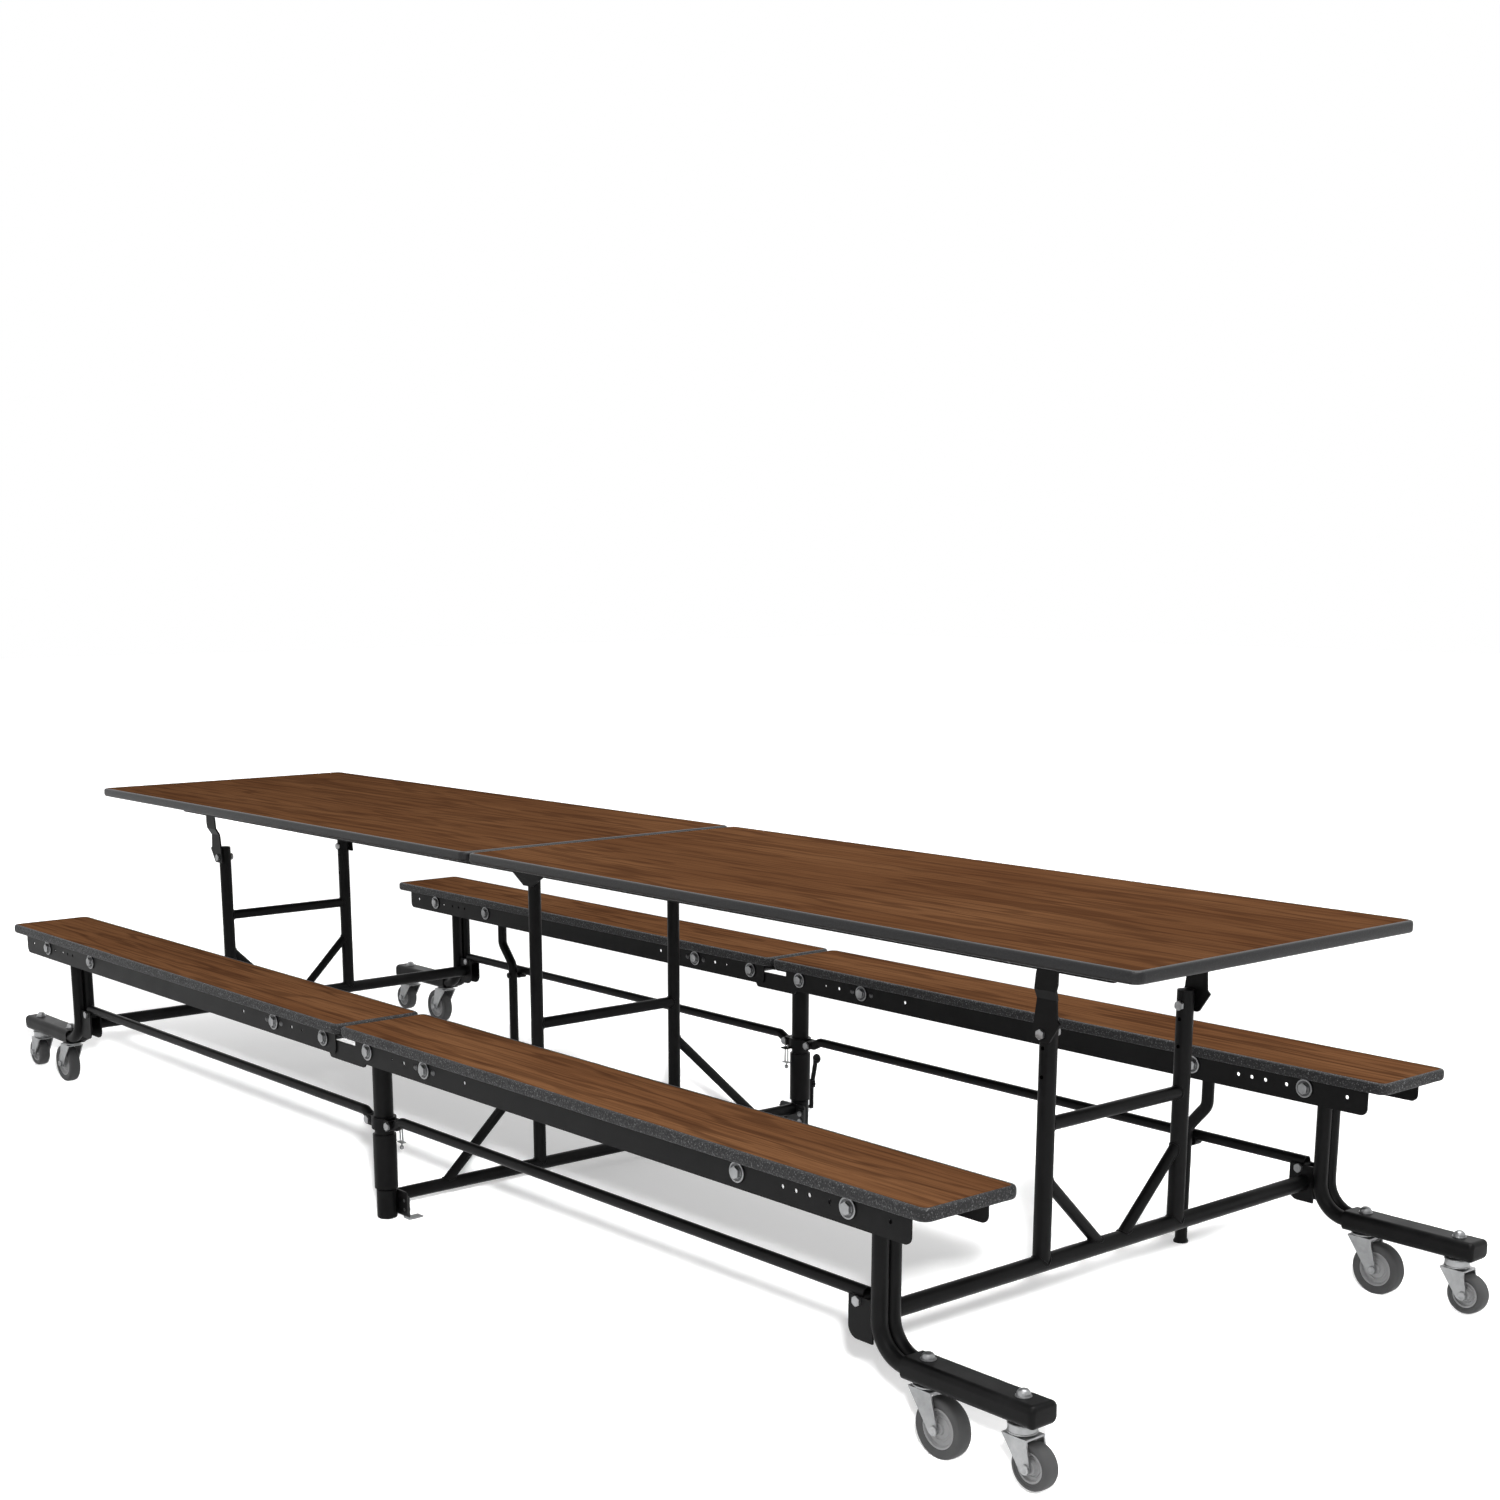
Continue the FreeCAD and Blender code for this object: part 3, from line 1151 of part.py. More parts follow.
def bench_bolts(label, side):
    """Cross bolts, their spacer tubes, and the rivets beside the brace bolts."""
    solids = []
    shank = D.kingpin_radius
    z = D.pivot_height
    inside = D.rail_half_spacing - D.rail_thickness
    leg_out = (D.leg_pitch + D.leg_od) / 2 + D.sliding_gap
    link_in = LINK_PLATE_Y - D.plate_thickness / 2 - D.sliding_gap
    near_gap = D.support_od / 2 + D.sliding_gap
    for row_name, row in ROWS:
        y0 = row * D.bench_y
        spans = [(D.hinge_x, -link_in, link_in), (D.brace_bolt_x, -inside, inside),
                 (D.leg_x, leg_out, inside), (D.leg_x, -inside, -leg_out)]
        if row > 0:
            spans += [(D.support_x, -inside, -D.support_shift - near_gap),
                      (D.support_x, near_gap - D.support_shift, inside)]
        else:
            spans += [(D.support_x, -inside, inside)]
        for number, (x, low, high) in enumerate(spans):
            name = "%s_spacer_%s%d" % (label, row_name, number)
            solids.append(tube(name, 2 * shank + 4.8, Dim.of(2.3), (side * x, y0 + low, z),
                               (side * x, y0 + high, z)))
        for number, x in enumerate((D.hinge_x, D.brace_bolt_x, D.support_x, D.leg_x)):
            name = "%s_bolt_%s%d" % (label, row_name, number)
            solids.append(copy_at(CROSS_BOLT, name, side * x, y0, z))
        for number, (step, sign) in enumerate(((-1, -1), (1, -1), (-1, 1), (1, 1))):
            name = "%s_rivet_%s%d" % (label, row_name, number)
            x = side * (D.brace_bolt_x + step * D.rivet_offset)
            solids.append(copy_at(RIVET, name, x, y0 + sign * D.rail_half_spacing, z,
                                  0 if sign > 0 else 180))
    sub_part(label, *solids)


# ---------------------------------------------------------------- assembly

def build():
    """Make every sub-part."""
    for side_name, side in SIDES:
        board("tabletop_" + side_name, side, 0, D.top_half_width, D.top_half_length, D.top_height)
        top_rails("tabletop_rails_" + side_name, side)
        swing_links("swing_links_" + side_name, side)
        end_frame("end_frame_" + side_name, side)
        end_bolts("end_frame_bolts_" + side_name, side)
        bench_bolts("bench_bolts_" + side_name, side)
        for row_name, row in ROWS:
            where = "%s_%s" % (side_name, row_name)
            board("bench_board_" + where, side, row * D.bench_y, D.bench_half_width,
                  D.bench_half_length, D.bench_height)
            bench_rails("bench_rails_" + where, side, row)
            end_leg("end_leg_" + where, side, row)
    casters()
    stabilizer_rods()
    support_legs()
    for row_name, row in ROWS:
        hinge_link("hinge_link_" + row_name, row)
        centre_leg("centre_leg_" + row_name, row)
        lock_pin("lock_pin_" + row_name, row)
    lock_lever("lock_lever")
    centre_leg_bolts("centre_leg_bolts")
    telescoping_legs("telescoping_legs")
    centre_frame("centre_frame")
    centre_gussets("centre_gussets")
    centre_feet("centre_feet")
    centre_frame_bolts("centre_frame_bolts")


def check():
    """Stop if any feature failed or any sub-part isn't a sound shape."""
    for item in DOC.Objects:
        if "Invalid" in item.State or "Error" in item.State:
            raise RuntimeError("feature failed: " + item.Label)
    for node in NODES:
        if node.Shape.isNull() or not node.Shape.isValid():
            raise RuntimeError("bad shape: " + node.Label)


def export():
    """Write one file for each sub-part."""
    os.makedirs("parts", exist_ok=True)
    for node in NODES:
        node.Shape.exportStep("parts/%s.step" % node.Label)


build()
DOC.recompute()
check()
export()
print("%d sub-parts" % len(NODES))
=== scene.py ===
"""Folding table with two benches: finishes and fine pieces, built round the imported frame."""
import json
import logging
import math
from dataclasses import dataclass
from enum import Enum
from typing import Sequence

import bmesh
import bpy
import numpy as np
from bpy.types import Material, Node, NodeSocket, NodeTree, Object
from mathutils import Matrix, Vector


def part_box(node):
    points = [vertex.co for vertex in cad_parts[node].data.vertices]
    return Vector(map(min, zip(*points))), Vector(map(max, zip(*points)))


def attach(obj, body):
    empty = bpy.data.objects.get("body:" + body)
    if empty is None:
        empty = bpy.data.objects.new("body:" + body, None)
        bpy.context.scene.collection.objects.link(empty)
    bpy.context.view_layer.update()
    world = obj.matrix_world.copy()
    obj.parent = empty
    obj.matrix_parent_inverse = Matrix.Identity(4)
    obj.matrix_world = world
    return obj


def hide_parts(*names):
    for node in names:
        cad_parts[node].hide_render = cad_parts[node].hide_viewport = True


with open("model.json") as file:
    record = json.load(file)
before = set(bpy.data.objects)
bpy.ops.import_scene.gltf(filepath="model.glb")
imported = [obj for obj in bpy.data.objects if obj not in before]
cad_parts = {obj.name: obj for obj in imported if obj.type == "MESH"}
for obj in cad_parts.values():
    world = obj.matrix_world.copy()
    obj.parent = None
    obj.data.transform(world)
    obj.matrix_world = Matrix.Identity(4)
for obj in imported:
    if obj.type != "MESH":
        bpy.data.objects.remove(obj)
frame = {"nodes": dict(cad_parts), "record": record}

LOG = logging.getLogger("bench_table")
Colour = tuple[float, float, float]
Point = tuple[float, float, float]
Shell = tuple[np.ndarray, np.ndarray]       # rows of points, and rows of four corner numbers
Tube = tuple[Point, Point, float]           # a point of its axis, the axis's direction, its radius
Ramp = tuple[float, float, float, float]    # two ends of a range, and what they become
Finishes = dict[str, Material]

BENCH_LINE = 0.605          # middle of each bench, from the table's long middle plane
RAIL_FACE = 0.0865          # bench line to the outer face of a rail
BOARD_CORNER = 0.020
TOP_PIVOT_Z = 0.744
TOP_PAINTED_SHADE = 0.78            # painted shade on the table top's laminate, the benches' being one: the same laminate, darkened to offset the stronger light on the top
SMOOTH_ANGLE = math.radians(38)
SAME = 1e-4                 # sizes nearer than this are the same


class Side(Enum):
    """The two halves of the table along its length."""

    LEFT = -1
    RIGHT = 1


class Row(Enum):
    """The two long sides, one bench on each."""

    NEAR = -1
    FAR = 1


@dataclass(frozen=True)
class Caster:
    """One of the two casters on an arm."""

    kind: str
    wheel_radius: float
    offset: float               # its kingpin from the inner caster's
    trail: float
    axle_z: float


CASTERS = (Caster("inner", wheel_radius=0.051, offset=0.0, trail=0.036, axle_z=0.051),
           Caster("outer", wheel_radius=0.038, offset=0.201, trail=0.027, axle_z=0.050))


# ------------------------------------------------------------------ mesh tools

def shape(name: str, points: np.ndarray, faces: Sequence[Sequence[int]], smooth: bool = True) -> Object:
    """Make a mesh object at the origin.

    Args:
        name: the piece's name.
        points: N rows of x, y, z in metres.
        faces: corner numbers of each face, counter-clockwise seen from outside.
        smooth: whether gentle edges are shaded round.

    Returns:
        The object, linked to the scene.
    """
    mesh = bpy.data.meshes.new(name)
    mesh.from_pydata(points.reshape(-1, 3).tolist(), [], faces)
    mesh.validate()
    if smooth:
        mesh.shade_smooth()
        mesh.set_sharp_from_angle(angle=SMOOTH_ANGLE)
    piece = bpy.data.objects.new(name, mesh)
    bpy.context.scene.collection.objects.link(piece)
    return piece


def grid_faces(rows: int, columns: int, wrap_rows: bool, wrap_columns: bool) -> np.ndarray:
    """Quads of a grid of points, numbered row by row.

    Args:
        rows: number of rows.
        columns: number of points in a row.
        wrap_rows: whether the last row joins the first.
        wrap_columns: whether the last column joins the first.

    Returns:
        One row of four corner numbers for each quad.
    """
    i = np.arange(rows if wrap_rows else rows - 1)[:, None]
    j = np.arange(columns if wrap_columns else columns - 1)[None, :]
    here, right = i * columns + j, i * columns + (j + 1) % columns
    up = ((i + 1) % rows) * columns + j
    far = ((i + 1) % rows) * columns + (j + 1) % columns
    return np.stack([here, right, far, up], axis=-1).reshape(-1, 4)


def axes_for(direction: np.ndarray) -> tuple[np.ndarray, np.ndarray, np.ndarray]:
    """Three unit vectors, right-handed, the last along the direction.

    Args:
        direction: any vector but nought.

    Returns:
        The three vectors.
    """
    along = direction / np.linalg.norm(direction)
    helper = np.array([0.0, 0.0, 1.0]) if abs(along[2]) < 0.9 else np.array([1.0, 0.0, 0.0])
    first = np.cross(helper, along)
    first /= np.linalg.norm(first)
    return first, np.cross(along, first), along


def ring(radius: np.ndarray, height: np.ndarray, centre: Point, axis: Point) -> Shell:
    """Closed ring whose section may change round it.

    With r and h the radius and height at turn t, the point is
    centre + r cos t U + r sin t V + h A, where U, V and A are unit vectors and A is the axis.

    Args:
        radius: one row for each turn, counter-clockwise with r to the right and h up.
        height: the heights that go with them.
        centre: where h is 0 on the axis.
        axis: direction of the axis.

    Returns:
        The closed shell.
    """
    first, second, along = axes_for(np.array(axis, float))
    turn = np.linspace(0, 2 * np.pi, len(radius), endpoint=False)[:, None, None]
    points = (np.array(centre) + radius[..., None] * (np.cos(turn) * first + np.sin(turn) * second)
              + height[..., None] * along)
    return points.reshape(-1, 3), grid_faces(*radius.shape, True, True)[:, ::-1]


def revolved(profile: np.ndarray, centre: Point, axis: Point, segments: int = 48) -> Shell:
    """Surface of revolution of a closed section, rows of (r, h), the same at every turn.

    Args:
        profile: rows of r, h, counter-clockwise with r to the right and h up.
        centre: where h is 0 on the axis.
        axis: direction of the axis.
        segments: steps round the axis.

    Returns:
        The closed shell.
    """
    rows = np.repeat(profile[None], segments, axis=0)
    return ring(rows[..., 0], rows[..., 1], centre, axis)


def hex_head(across: float, height: float, bore: float, centre: Point, axis: Point) -> Shell:
    """Six-sided head or nut, its upper corners cut by a 30 degree cone.

    At turn t the side lies at R(t) = a / cos(((t + 30) mod 60) - 30), with a half of the width
    across the flats, and its upper edge at h(t) = h - (R(t) - a) tan 30.

    Args:
        across: width across the flats.
        height: height of the head.
        bore: radius of the hole through it.
        centre: middle of its foot.
        axis: direction from its foot to its top.

    Returns:
        The closed shell.
    """
    turn = np.linspace(0, 2 * np.pi, 48, endpoint=False)
    flat = across / 2
    side = flat / np.cos((turn + np.pi / 6) % (np.pi / 3) - np.pi / 6)
    edge = height - (side - flat) * math.tan(np.pi / 6)
    even = np.ones_like(turn)
    radius = np.stack([bore * even, side, side, 0.95 * flat * even, bore * even], axis=-1)
    rise = np.stack([0 * even, 0 * even, edge, height * even, height * even], axis=-1)
    return ring(radius, rise, centre, axis)


def weld_bead(main: Tube, branch: Tube, size: float) -> Shell:
    """Fillet bead where a branch tube meets a main tube.

    The bead follows the line where the two round surfaces meet: at turn t the branch's own line
    starts at q = centre + r cos t U + r sin t V and runs on by s until it stands R from the main
    axis. Round that line lies a circle whose radius ripples as size (1 + 0.12 sin 40 t).

    Args:
        main: the main tube.
        branch: the branch, from the point where its axis meets the main one, away from it.
        size: radius of the bead.

    Returns:
        The closed shell.
    """
    steps, section_steps = 96, 8
    ripple, ripples = 0.12, 40
    main_point, main_axis, main_radius = np.array(main[0]), axes_for(np.array(main[1], float))[2], main[2]
    first, second, along = axes_for(np.array(branch[1], float))
    turn = np.linspace(0, 2 * np.pi, steps, endpoint=False)[:, None]
    out = np.cos(turn) * first + np.sin(turn) * second
    start = np.array(branch[0]) + branch[2] * out - main_point
    flat_start = start - (start @ main_axis)[:, None] * main_axis
    flat_along = along - (along @ main_axis) * main_axis
    square = flat_along @ flat_along
    half = flat_start @ flat_along
    rest = (flat_start ** 2).sum(axis=1) - main_radius ** 2
    run = (-half + np.sqrt(np.clip(half ** 2 - square * rest, 0, None))) / square
    line = main_point + start + run[:, None] * along
    main_out = flat_start + run[:, None] * flat_along
    main_out /= np.linalg.norm(main_out, axis=1)[:, None]
    tangent = np.roll(line, -1, axis=0) - np.roll(line, 1, axis=0)
    tangent /= np.linalg.norm(tangent, axis=1)[:, None]
    lift = main_out + out
    lift -= (lift * tangent).sum(axis=1)[:, None] * tangent
    lift /= np.linalg.norm(lift, axis=1)[:, None]
    aside = np.cross(tangent, lift)
    angle = np.linspace(0, 2 * np.pi, section_steps, endpoint=False)[None, :, None]
    radius = size * (1 + ripple * np.sin(ripples * turn))[:, None, :]
    points = line[:, None] + radius * (np.cos(angle) * lift[:, None] + np.sin(angle) * aside[:, None])
    return points.reshape(-1, 3), grid_faces(steps, section_steps, True, True)[:, ::-1]


def joined(name: str, shells: Sequence[Shell]) -> Object:
    """Make one piece of several closed shells, with equal points merged.

    Args:
        name: the piece's name.
        shells: its shells.

    Returns:
        The object.
    """
    counts = np.cumsum([0] + [len(points) for points, _ in shells])
    faces = np.concatenate([faces + start for (_, faces), start in zip(shells, counts)])
    piece = shape(name, np.concatenate([points for points, _ in shells]), faces.tolist())
    merged = bmesh.new()
    merged.from_mesh(piece.data)
    bmesh.ops.remove_doubles(merged, verts=merged.verts, dist=1e-6)
    merged.to_mesh(piece.data)
    merged.free()
    return piece


def rounded_outline(low: Sequence[float], high: Sequence[float], radius: float,
                    steps: int = 10) -> np.ndarray:
    """Rectangle with round corners, counter-clockwise.

    Each corner is centre + radius (cos a, sin a) with a running over its own quarter turn.

    Args:
        low: lowest x and y.
        high: highest x and y.
        radius: corner radius.
        steps: points on each corner, less one.

    Returns:
        Rows of x, y, outward x, outward y.
    """
    quarter = np.linspace(0, np.pi / 2, steps + 1)
    angle = (np.arange(4)[:, None] * np.pi / 2 + quarter[None, :]).ravel()
    out = np.stack([np.cos(angle), np.sin(angle)], axis=-1)
    left, right = low[0] + radius, high[0] - radius
    below, above = low[1] + radius, high[1] - radius
    centre = np.repeat([[right, above], [left, above], [left, below], [right, below]], steps + 1, axis=0)
    return np.concatenate([centre + radius * out, out], axis=-1)


def prism(name: str, outline: np.ndarray, low: float, high: float) -> Object:
    """Flat sheet between two heights, with a plane outline carried straight up.

    Args:
        name: the piece's name.
        outline: rows that start with x, y, counter-clockwise.
        low: its lower height.
        high: its upper height.

    Returns:
        The object.
    """
    count = len(outline)
    rings = [np.column_stack([outline[:, :2], np.full(count, z)]) for z in (low, high)]
    faces = grid_faces(2, count, False, True).tolist()
    faces.append(list(range(count - 1, -1, -1)))
    faces.append(list(range(count, 2 * count)))
    return shape(name, np.concatenate(rings), faces)


# ------------------------------------------------------------------ node tools

class Nodes:
    """Short way to add and join the nodes of one tree."""

    def __init__(self, tree: NodeTree) -> None:
        """Keep the tree."""
        self.tree = tree

    def put(self, target: NodeSocket, value) -> None:
        """Join a socket to an input, or set the input's value.

        Args:
            target: the input.
            value: a socket or a value.
        """
        if isinstance(value, NodeSocket):
            self.tree.links.new(value, target)
        else:
            target.default_value = value

    def add(self, kind: str, inputs: dict | None = None, **settings) -> Node:
        """Add a node.

        Args:
            kind: Blender's name of the node type.
            inputs: values or sockets for its inputs, by name or number.
            settings: attributes of the node.

        Returns:
            The node.
        """
        node = self.tree.nodes.new(kind)
        for key, value in settings.items():
            setattr(node, key, value)
        for key, value in (inputs or {}).items():
            self.put(node.inputs[key], value)
        return node

    def math(self, operation: str, *values) -> NodeSocket:
        """Number worked out from one, two or three values or sockets."""
        return self.add("ShaderNodeMath", dict(enumerate(values)), operation=operation).outputs[0]

    def mix(self, factor, first, second) -> NodeSocket:
        """Colour between two colours.

        Args:
            factor: nought for the first colour, one for the second.
            first: three numbers, or a socket.
            second: three numbers, or a socket.

        Returns:
            The mixed colour.
        """
        node = self.add("ShaderNodeMix", {0: factor}, data_type="RGBA")
        for number, value in ((6, first), (7, second)):
            self.put(node.inputs[number], value if isinstance(value, NodeSocket) else (*value, 1.0))
        return node.outputs[2]

    def spread(self, value, low: float, high: float, to_low: float = 0.0,
               to_high: float = 1.0) -> NodeSocket:
        """Value moved from one range to another, and held inside it."""
        node = self.add("ShaderNodeMapRange", {0: value, 1: low, 2: high, 3: to_low, 4: to_high})
        return node.outputs[0]

    def noise(self, vector, scale, detail: float = 4.0, roughness: float = 0.5) -> NodeSocket:
        """Cloudy noise from 0 to 1."""
        inputs = {"Vector": vector, "Scale": scale, "Detail": detail, "Roughness": roughness}
        return self.add("ShaderNodeTexNoise", inputs).outputs[0]

    def axis(self, vector, number: int) -> NodeSocket:
        """X, Y or Z of a vector, as number 0, 1 or 2."""
        return self.add("ShaderNodeSeparateXYZ", {0: vector}).outputs[number]

    def stretch(self, vector, scale: Point) -> NodeSocket:
        """Coordinates scaled along each axis."""
        return self.add("ShaderNodeMapping", {"Vector": vector, "Scale": scale}).outputs[0]

    def bump(self, height, strength, distance: float) -> NodeSocket:
        """Normal tilted by a height."""
        inputs = {"Height": height, "Strength": strength, "Distance": distance}
        return self.add("ShaderNodeBump", inputs).outputs[0]


class Shading(Nodes):
    """Nodes of a new material, with its shader, object coordinates and the shared groups."""

    def __init__(self, name: str, groups: dict[str, NodeTree]) -> None:
        """Start the material.

        Args:
            name: the material's name.
            groups: shared node groups by name.
        """
        self.material = bpy.data.materials.new(name)
        self.material.use_nodes = True
        super().__init__(self.material.node_tree)
        self.groups = groups
        self.place = self.add("ShaderNodeTexCoord").outputs["Object"]

    def group(self, name: str, **numbers: float) -> dict[str, NodeSocket]:
        """Outputs, by name, of a shared group on the object coordinates."""
        node = self.add("ShaderNodeGroup", {"Vector": self.place, **numbers}, node_tree=self.groups[name])
        return {socket.name: socket for socket in node.outputs}

    def feed(self, **sockets) -> None:
        """Join sockets or values to the shader.

        Args:
            sockets: what goes into each input, with underscores for the spaces in its name.
        """
        shader = self.tree.nodes["Principled BSDF"]
        for key, value in sockets.items():
            self.put(shader.inputs[key.replace("_", " ")], value)


def new_group(name: str, inputs: dict[str, float], outputs: dict[str, str]) -> tuple[NodeTree, Nodes, dict]:
    """Start a shader node group with a coordinate input.

    Args:
        name: the group's name.
        inputs: its number inputs and their usual values.
        outputs: its outputs and their socket types.

    Returns:
        The group, its node maker, and its input sockets by name.
    """
    tree = bpy.data.node_groups.new(name, "ShaderNodeTree")
    tree.interface.new_socket("Vector", in_out="INPUT", socket_type="NodeSocketVector")
    for key, value in inputs.items():
        tree.interface.new_socket(key, in_out="INPUT", socket_type="NodeSocketFloat").default_value = value
    for key, kind in outputs.items():
        tree.interface.new_socket(key, in_out="OUTPUT", socket_type=kind)
    nodes = Nodes(tree)
    return tree, nodes, {socket.name: socket for socket in nodes.add("NodeGroupInput").outputs}


def skin_group() -> NodeTree:
    """Fine uneven skin of a sprayed or plated surface, and its cloudy variation.

    Returns:
        The group.
    """
    tree, nodes, given = new_group("sprayed_skin", {"Size": 900.0, "Depth": 0.1},
                                   {"Cloud": "NodeSocketFloat", "Normal": "NodeSocketVector"})
    fine = nodes.noise(given["Vector"], given["Size"], 2.0)
    cloud = nodes.noise(given["Vector"], 14.0, 5.0, 0.6)
    nodes.add("NodeGroupOutput", {"Cloud": cloud, "Normal": nodes.bump(fine, given["Depth"], 0.0004)})
    return tree


def grain_group() -> NodeTree:
    """Long wood figure along X: broad cathedrals, fibres and pores.

    The figure is (1 + sin 2 pi (n y + w noise)) / 2, with n rings to a metre and w rings of warp.

    Returns:
        The group.
    """
    rings_across, warp_depth = 9.0, 7.0
    warp_scale, fibre_scale, pore_scale = (0.6, 5.5, 1.0), (3.0, 150.0, 1.0), (14.0, 620.0, 1.0)
    tree, nodes, given = new_group("walnut_figure", {"Seed": 0.0},
                                   dict.fromkeys(("Figure", "Fibre", "Pores"), "NodeSocketFloat"))
    shift = nodes.add("ShaderNodeCombineXYZ", {0: given["Seed"], 1: given["Seed"], 2: 0.0}).outputs[0]
    place = nodes.add("ShaderNodeVectorMath", {0: given["Vector"], 1: shift}, operation="ADD").outputs[0]
    warp = nodes.noise(nodes.stretch(place, warp_scale), 1.6, 3.0, 0.55)
    across = nodes.axis(place, 1)
    rings = nodes.math("ADD", nodes.math("MULTIPLY", across, rings_across),
                       nodes.math("MULTIPLY", warp, warp_depth))
    wave = nodes.math("SINE", nodes.math("MULTIPLY", rings, 6.2832))
    figure = nodes.math("ADD", nodes.math("MULTIPLY", wave, 0.5), 0.5)
    fibre = nodes.noise(nodes.stretch(place, fibre_scale), 1.0, 6.0, 0.65)
    pores = nodes.noise(nodes.stretch(place, pore_scale), 1.0, 3.0, 0.6)
    nodes.add("NodeGroupOutput", {"Figure": figure, "Fibre": fibre, "Pores": pores})
    return tree


# ------------------------------------------------------------------ finishes

class Finish:
    """A named finish."""

    name = "finish"

    def make(self, groups: dict[str, NodeTree]) -> Material:
        """Build the material.

        Args:
            groups: shared node groups by name.

        Returns:
            The material.
        """
        nodes = Shading(self.name, groups)
        self.lay(nodes)
        return nodes.material

    def lay(self, nodes: Shading) -> None:
        """Add the finish's own nodes."""
        raise NotImplementedError


@dataclass(frozen=True)
class WalnutLaminate(Finish):
    """Satin walnut-pattern laminate with its figure along the board."""

    name: str = "walnut_laminate"
    seed: float = 0.0
    dark: Colour = (0.040, 0.016, 0.008)
    middle: Colour = (0.122, 0.052, 0.0225)
    light: Colour = (0.176, 0.081, 0.036)
    veins: Ramp = (0.62, 1.0, 0.0, 0.50)        # how much dark the figure, fibres and pores bring
    fibres: Ramp = (0.44, 0.68, 0.0, 0.62)
    pores: Ramp = (0.56, 0.72, 0.0, 0.55)
    roughness: float = 0.50
    specular: float = 0.0
    shade: float = 1.0              # painted shade: how far the tone is darkened, one being the benches'

    def tone(self, colour: Colour) -> Colour:
        """The colour times the painted shade."""
        return tuple(self.shade * part for part in colour)

    def lay(self, nodes: Shading) -> None:
        """Lay veins, fibres and pores over a broad change of tone.

        Args:
            nodes: the material's nodes.
        """
        grain = nodes.group("grain", Seed=self.seed)
        broad = nodes.noise(nodes.stretch(nodes.place, (0.7, 4.0, 1.0)), 2.0, 3.0)
        colour = nodes.mix(nodes.spread(broad, 0.3, 0.7), self.tone(self.middle), self.tone(self.light))
        for part, ramp in (("Figure", self.veins), ("Fibre", self.fibres), ("Pores", self.pores)):
            colour = nodes.mix(nodes.spread(grain[part], *ramp), colour, self.dark)
        rough = nodes.spread(grain["Fibre"], 0.2, 0.8, self.roughness - 0.05, self.roughness + 0.08)
        nodes.feed(Base_Color=colour, Roughness=rough, Normal=nodes.bump(grain["Pores"], 0.12, 0.0004),
                   Specular_IOR_Level=self.specular)


@dataclass(frozen=True)
class PebbledVinyl(Finish):
    """Black moulded edge with a pebbled skin whose tops catch the light."""

    name: str = "pebbled_vinyl"
    base: Colour = (0.013, 0.013, 0.014)
    # painted highlight: the lighter colour laid on patches of the pebbles' tops
    tops: Colour = (0.200, 0.202, 0.205)
    pebble: float = 330.0           # pebbles to a metre
    depth: float = 0.75
    roughness: tuple[float, float] = (0.62, 0.42)       # between the pebbles and on them
    specular: float = 0.35

    def lay(self, nodes: Shading) -> None:
        """Raise the pebbles, and let patches of their tops show light.

        Args:
            nodes: the material's nodes.
        """
        cells = nodes.add("ShaderNodeTexVoronoi", {"Vector": nodes.place, "Scale": self.pebble,
                                                   "Randomness": 1.0}, feature="SMOOTH_F1")
        pebbles = nodes.spread(cells.outputs["Distance"], 0.05, 0.62, 1.0, 0.0)
        patchy = nodes.spread(nodes.noise(nodes.place, 260.0, 3.0, 0.6), 0.44, 0.64)
        # mask of the painted highlight on the high parts of the pebbles
        tops = nodes.math("MULTIPLY", nodes.spread(pebbles, 0.35, 0.95), patchy)
        nodes.feed(Base_Color=nodes.mix(tops, self.base, self.tops),
                   Roughness=nodes.spread(pebbles, 0.0, 1.0, *self.roughness),
                   Specular_IOR_Level=self.specular, Normal=nodes.bump(pebbles, self.depth, 0.0006))


@dataclass(frozen=True)
class Clouded(Finish):
    """Coat or moulding with a fine skin, softly clouded in colour and gloss."""

    name: str = "clouded"
    first: Colour = (0.5, 0.5, 0.5)
    second: Colour = (0.6, 0.6, 0.6)
    roughness: float = 0.5
    depth: float = 0.10
    specular: float = 0.30
    colour_span: tuple[float, float] = (0.0, 1.0)       # of the cloud that moves the colour
    gloss_span: tuple[float, float] = (0.2, 0.8)        # and the roughness
    gloss_change: tuple[float, float] = (-0.06, 0.06)

    def lay(self, nodes: Shading) -> None:
        """Cloud the colour and the roughness.

        Args:
            nodes: the material's nodes.
        """
        skin = nodes.group("skin", Depth=self.depth)
        rough = [self.roughness + change for change in self.gloss_change]
        part = nodes.spread(skin["Cloud"], *self.colour_span)
        nodes.feed(Base_Color=nodes.mix(part, self.first, self.second),
                   Roughness=nodes.spread(skin["Cloud"], *self.gloss_span, *rough),
                   Specular_IOR_Level=self.specular, Normal=skin["Normal"])


@dataclass(frozen=True)
class PowderCoat(Clouded):
    """Satin black powder coat with a faint orange peel."""

    name: str = "black_powder_coat"
    first: Colour = (0.0060, 0.0060, 0.0062)
    second: Colour = (0.0110, 0.0110, 0.0113)
    roughness: float = 0.34
    specular: float = 0.10
    colour_span: tuple[float, float] = (0.35, 0.75)
    gloss_span: tuple[float, float] = (0.3, 0.7)
    gloss_change: tuple[float, float] = (-0.05, 0.09)


@dataclass(frozen=True)
class Moulded(Clouded):
    """Grey rubber or plastic with faint mottling."""

    name: str = "grey_rubber"
    first: Colour = (0.076, 0.076, 0.077)
    second: Colour = (0.094, 0.094, 0.095)
    roughness: float = 0.6
    depth: float = 0.08


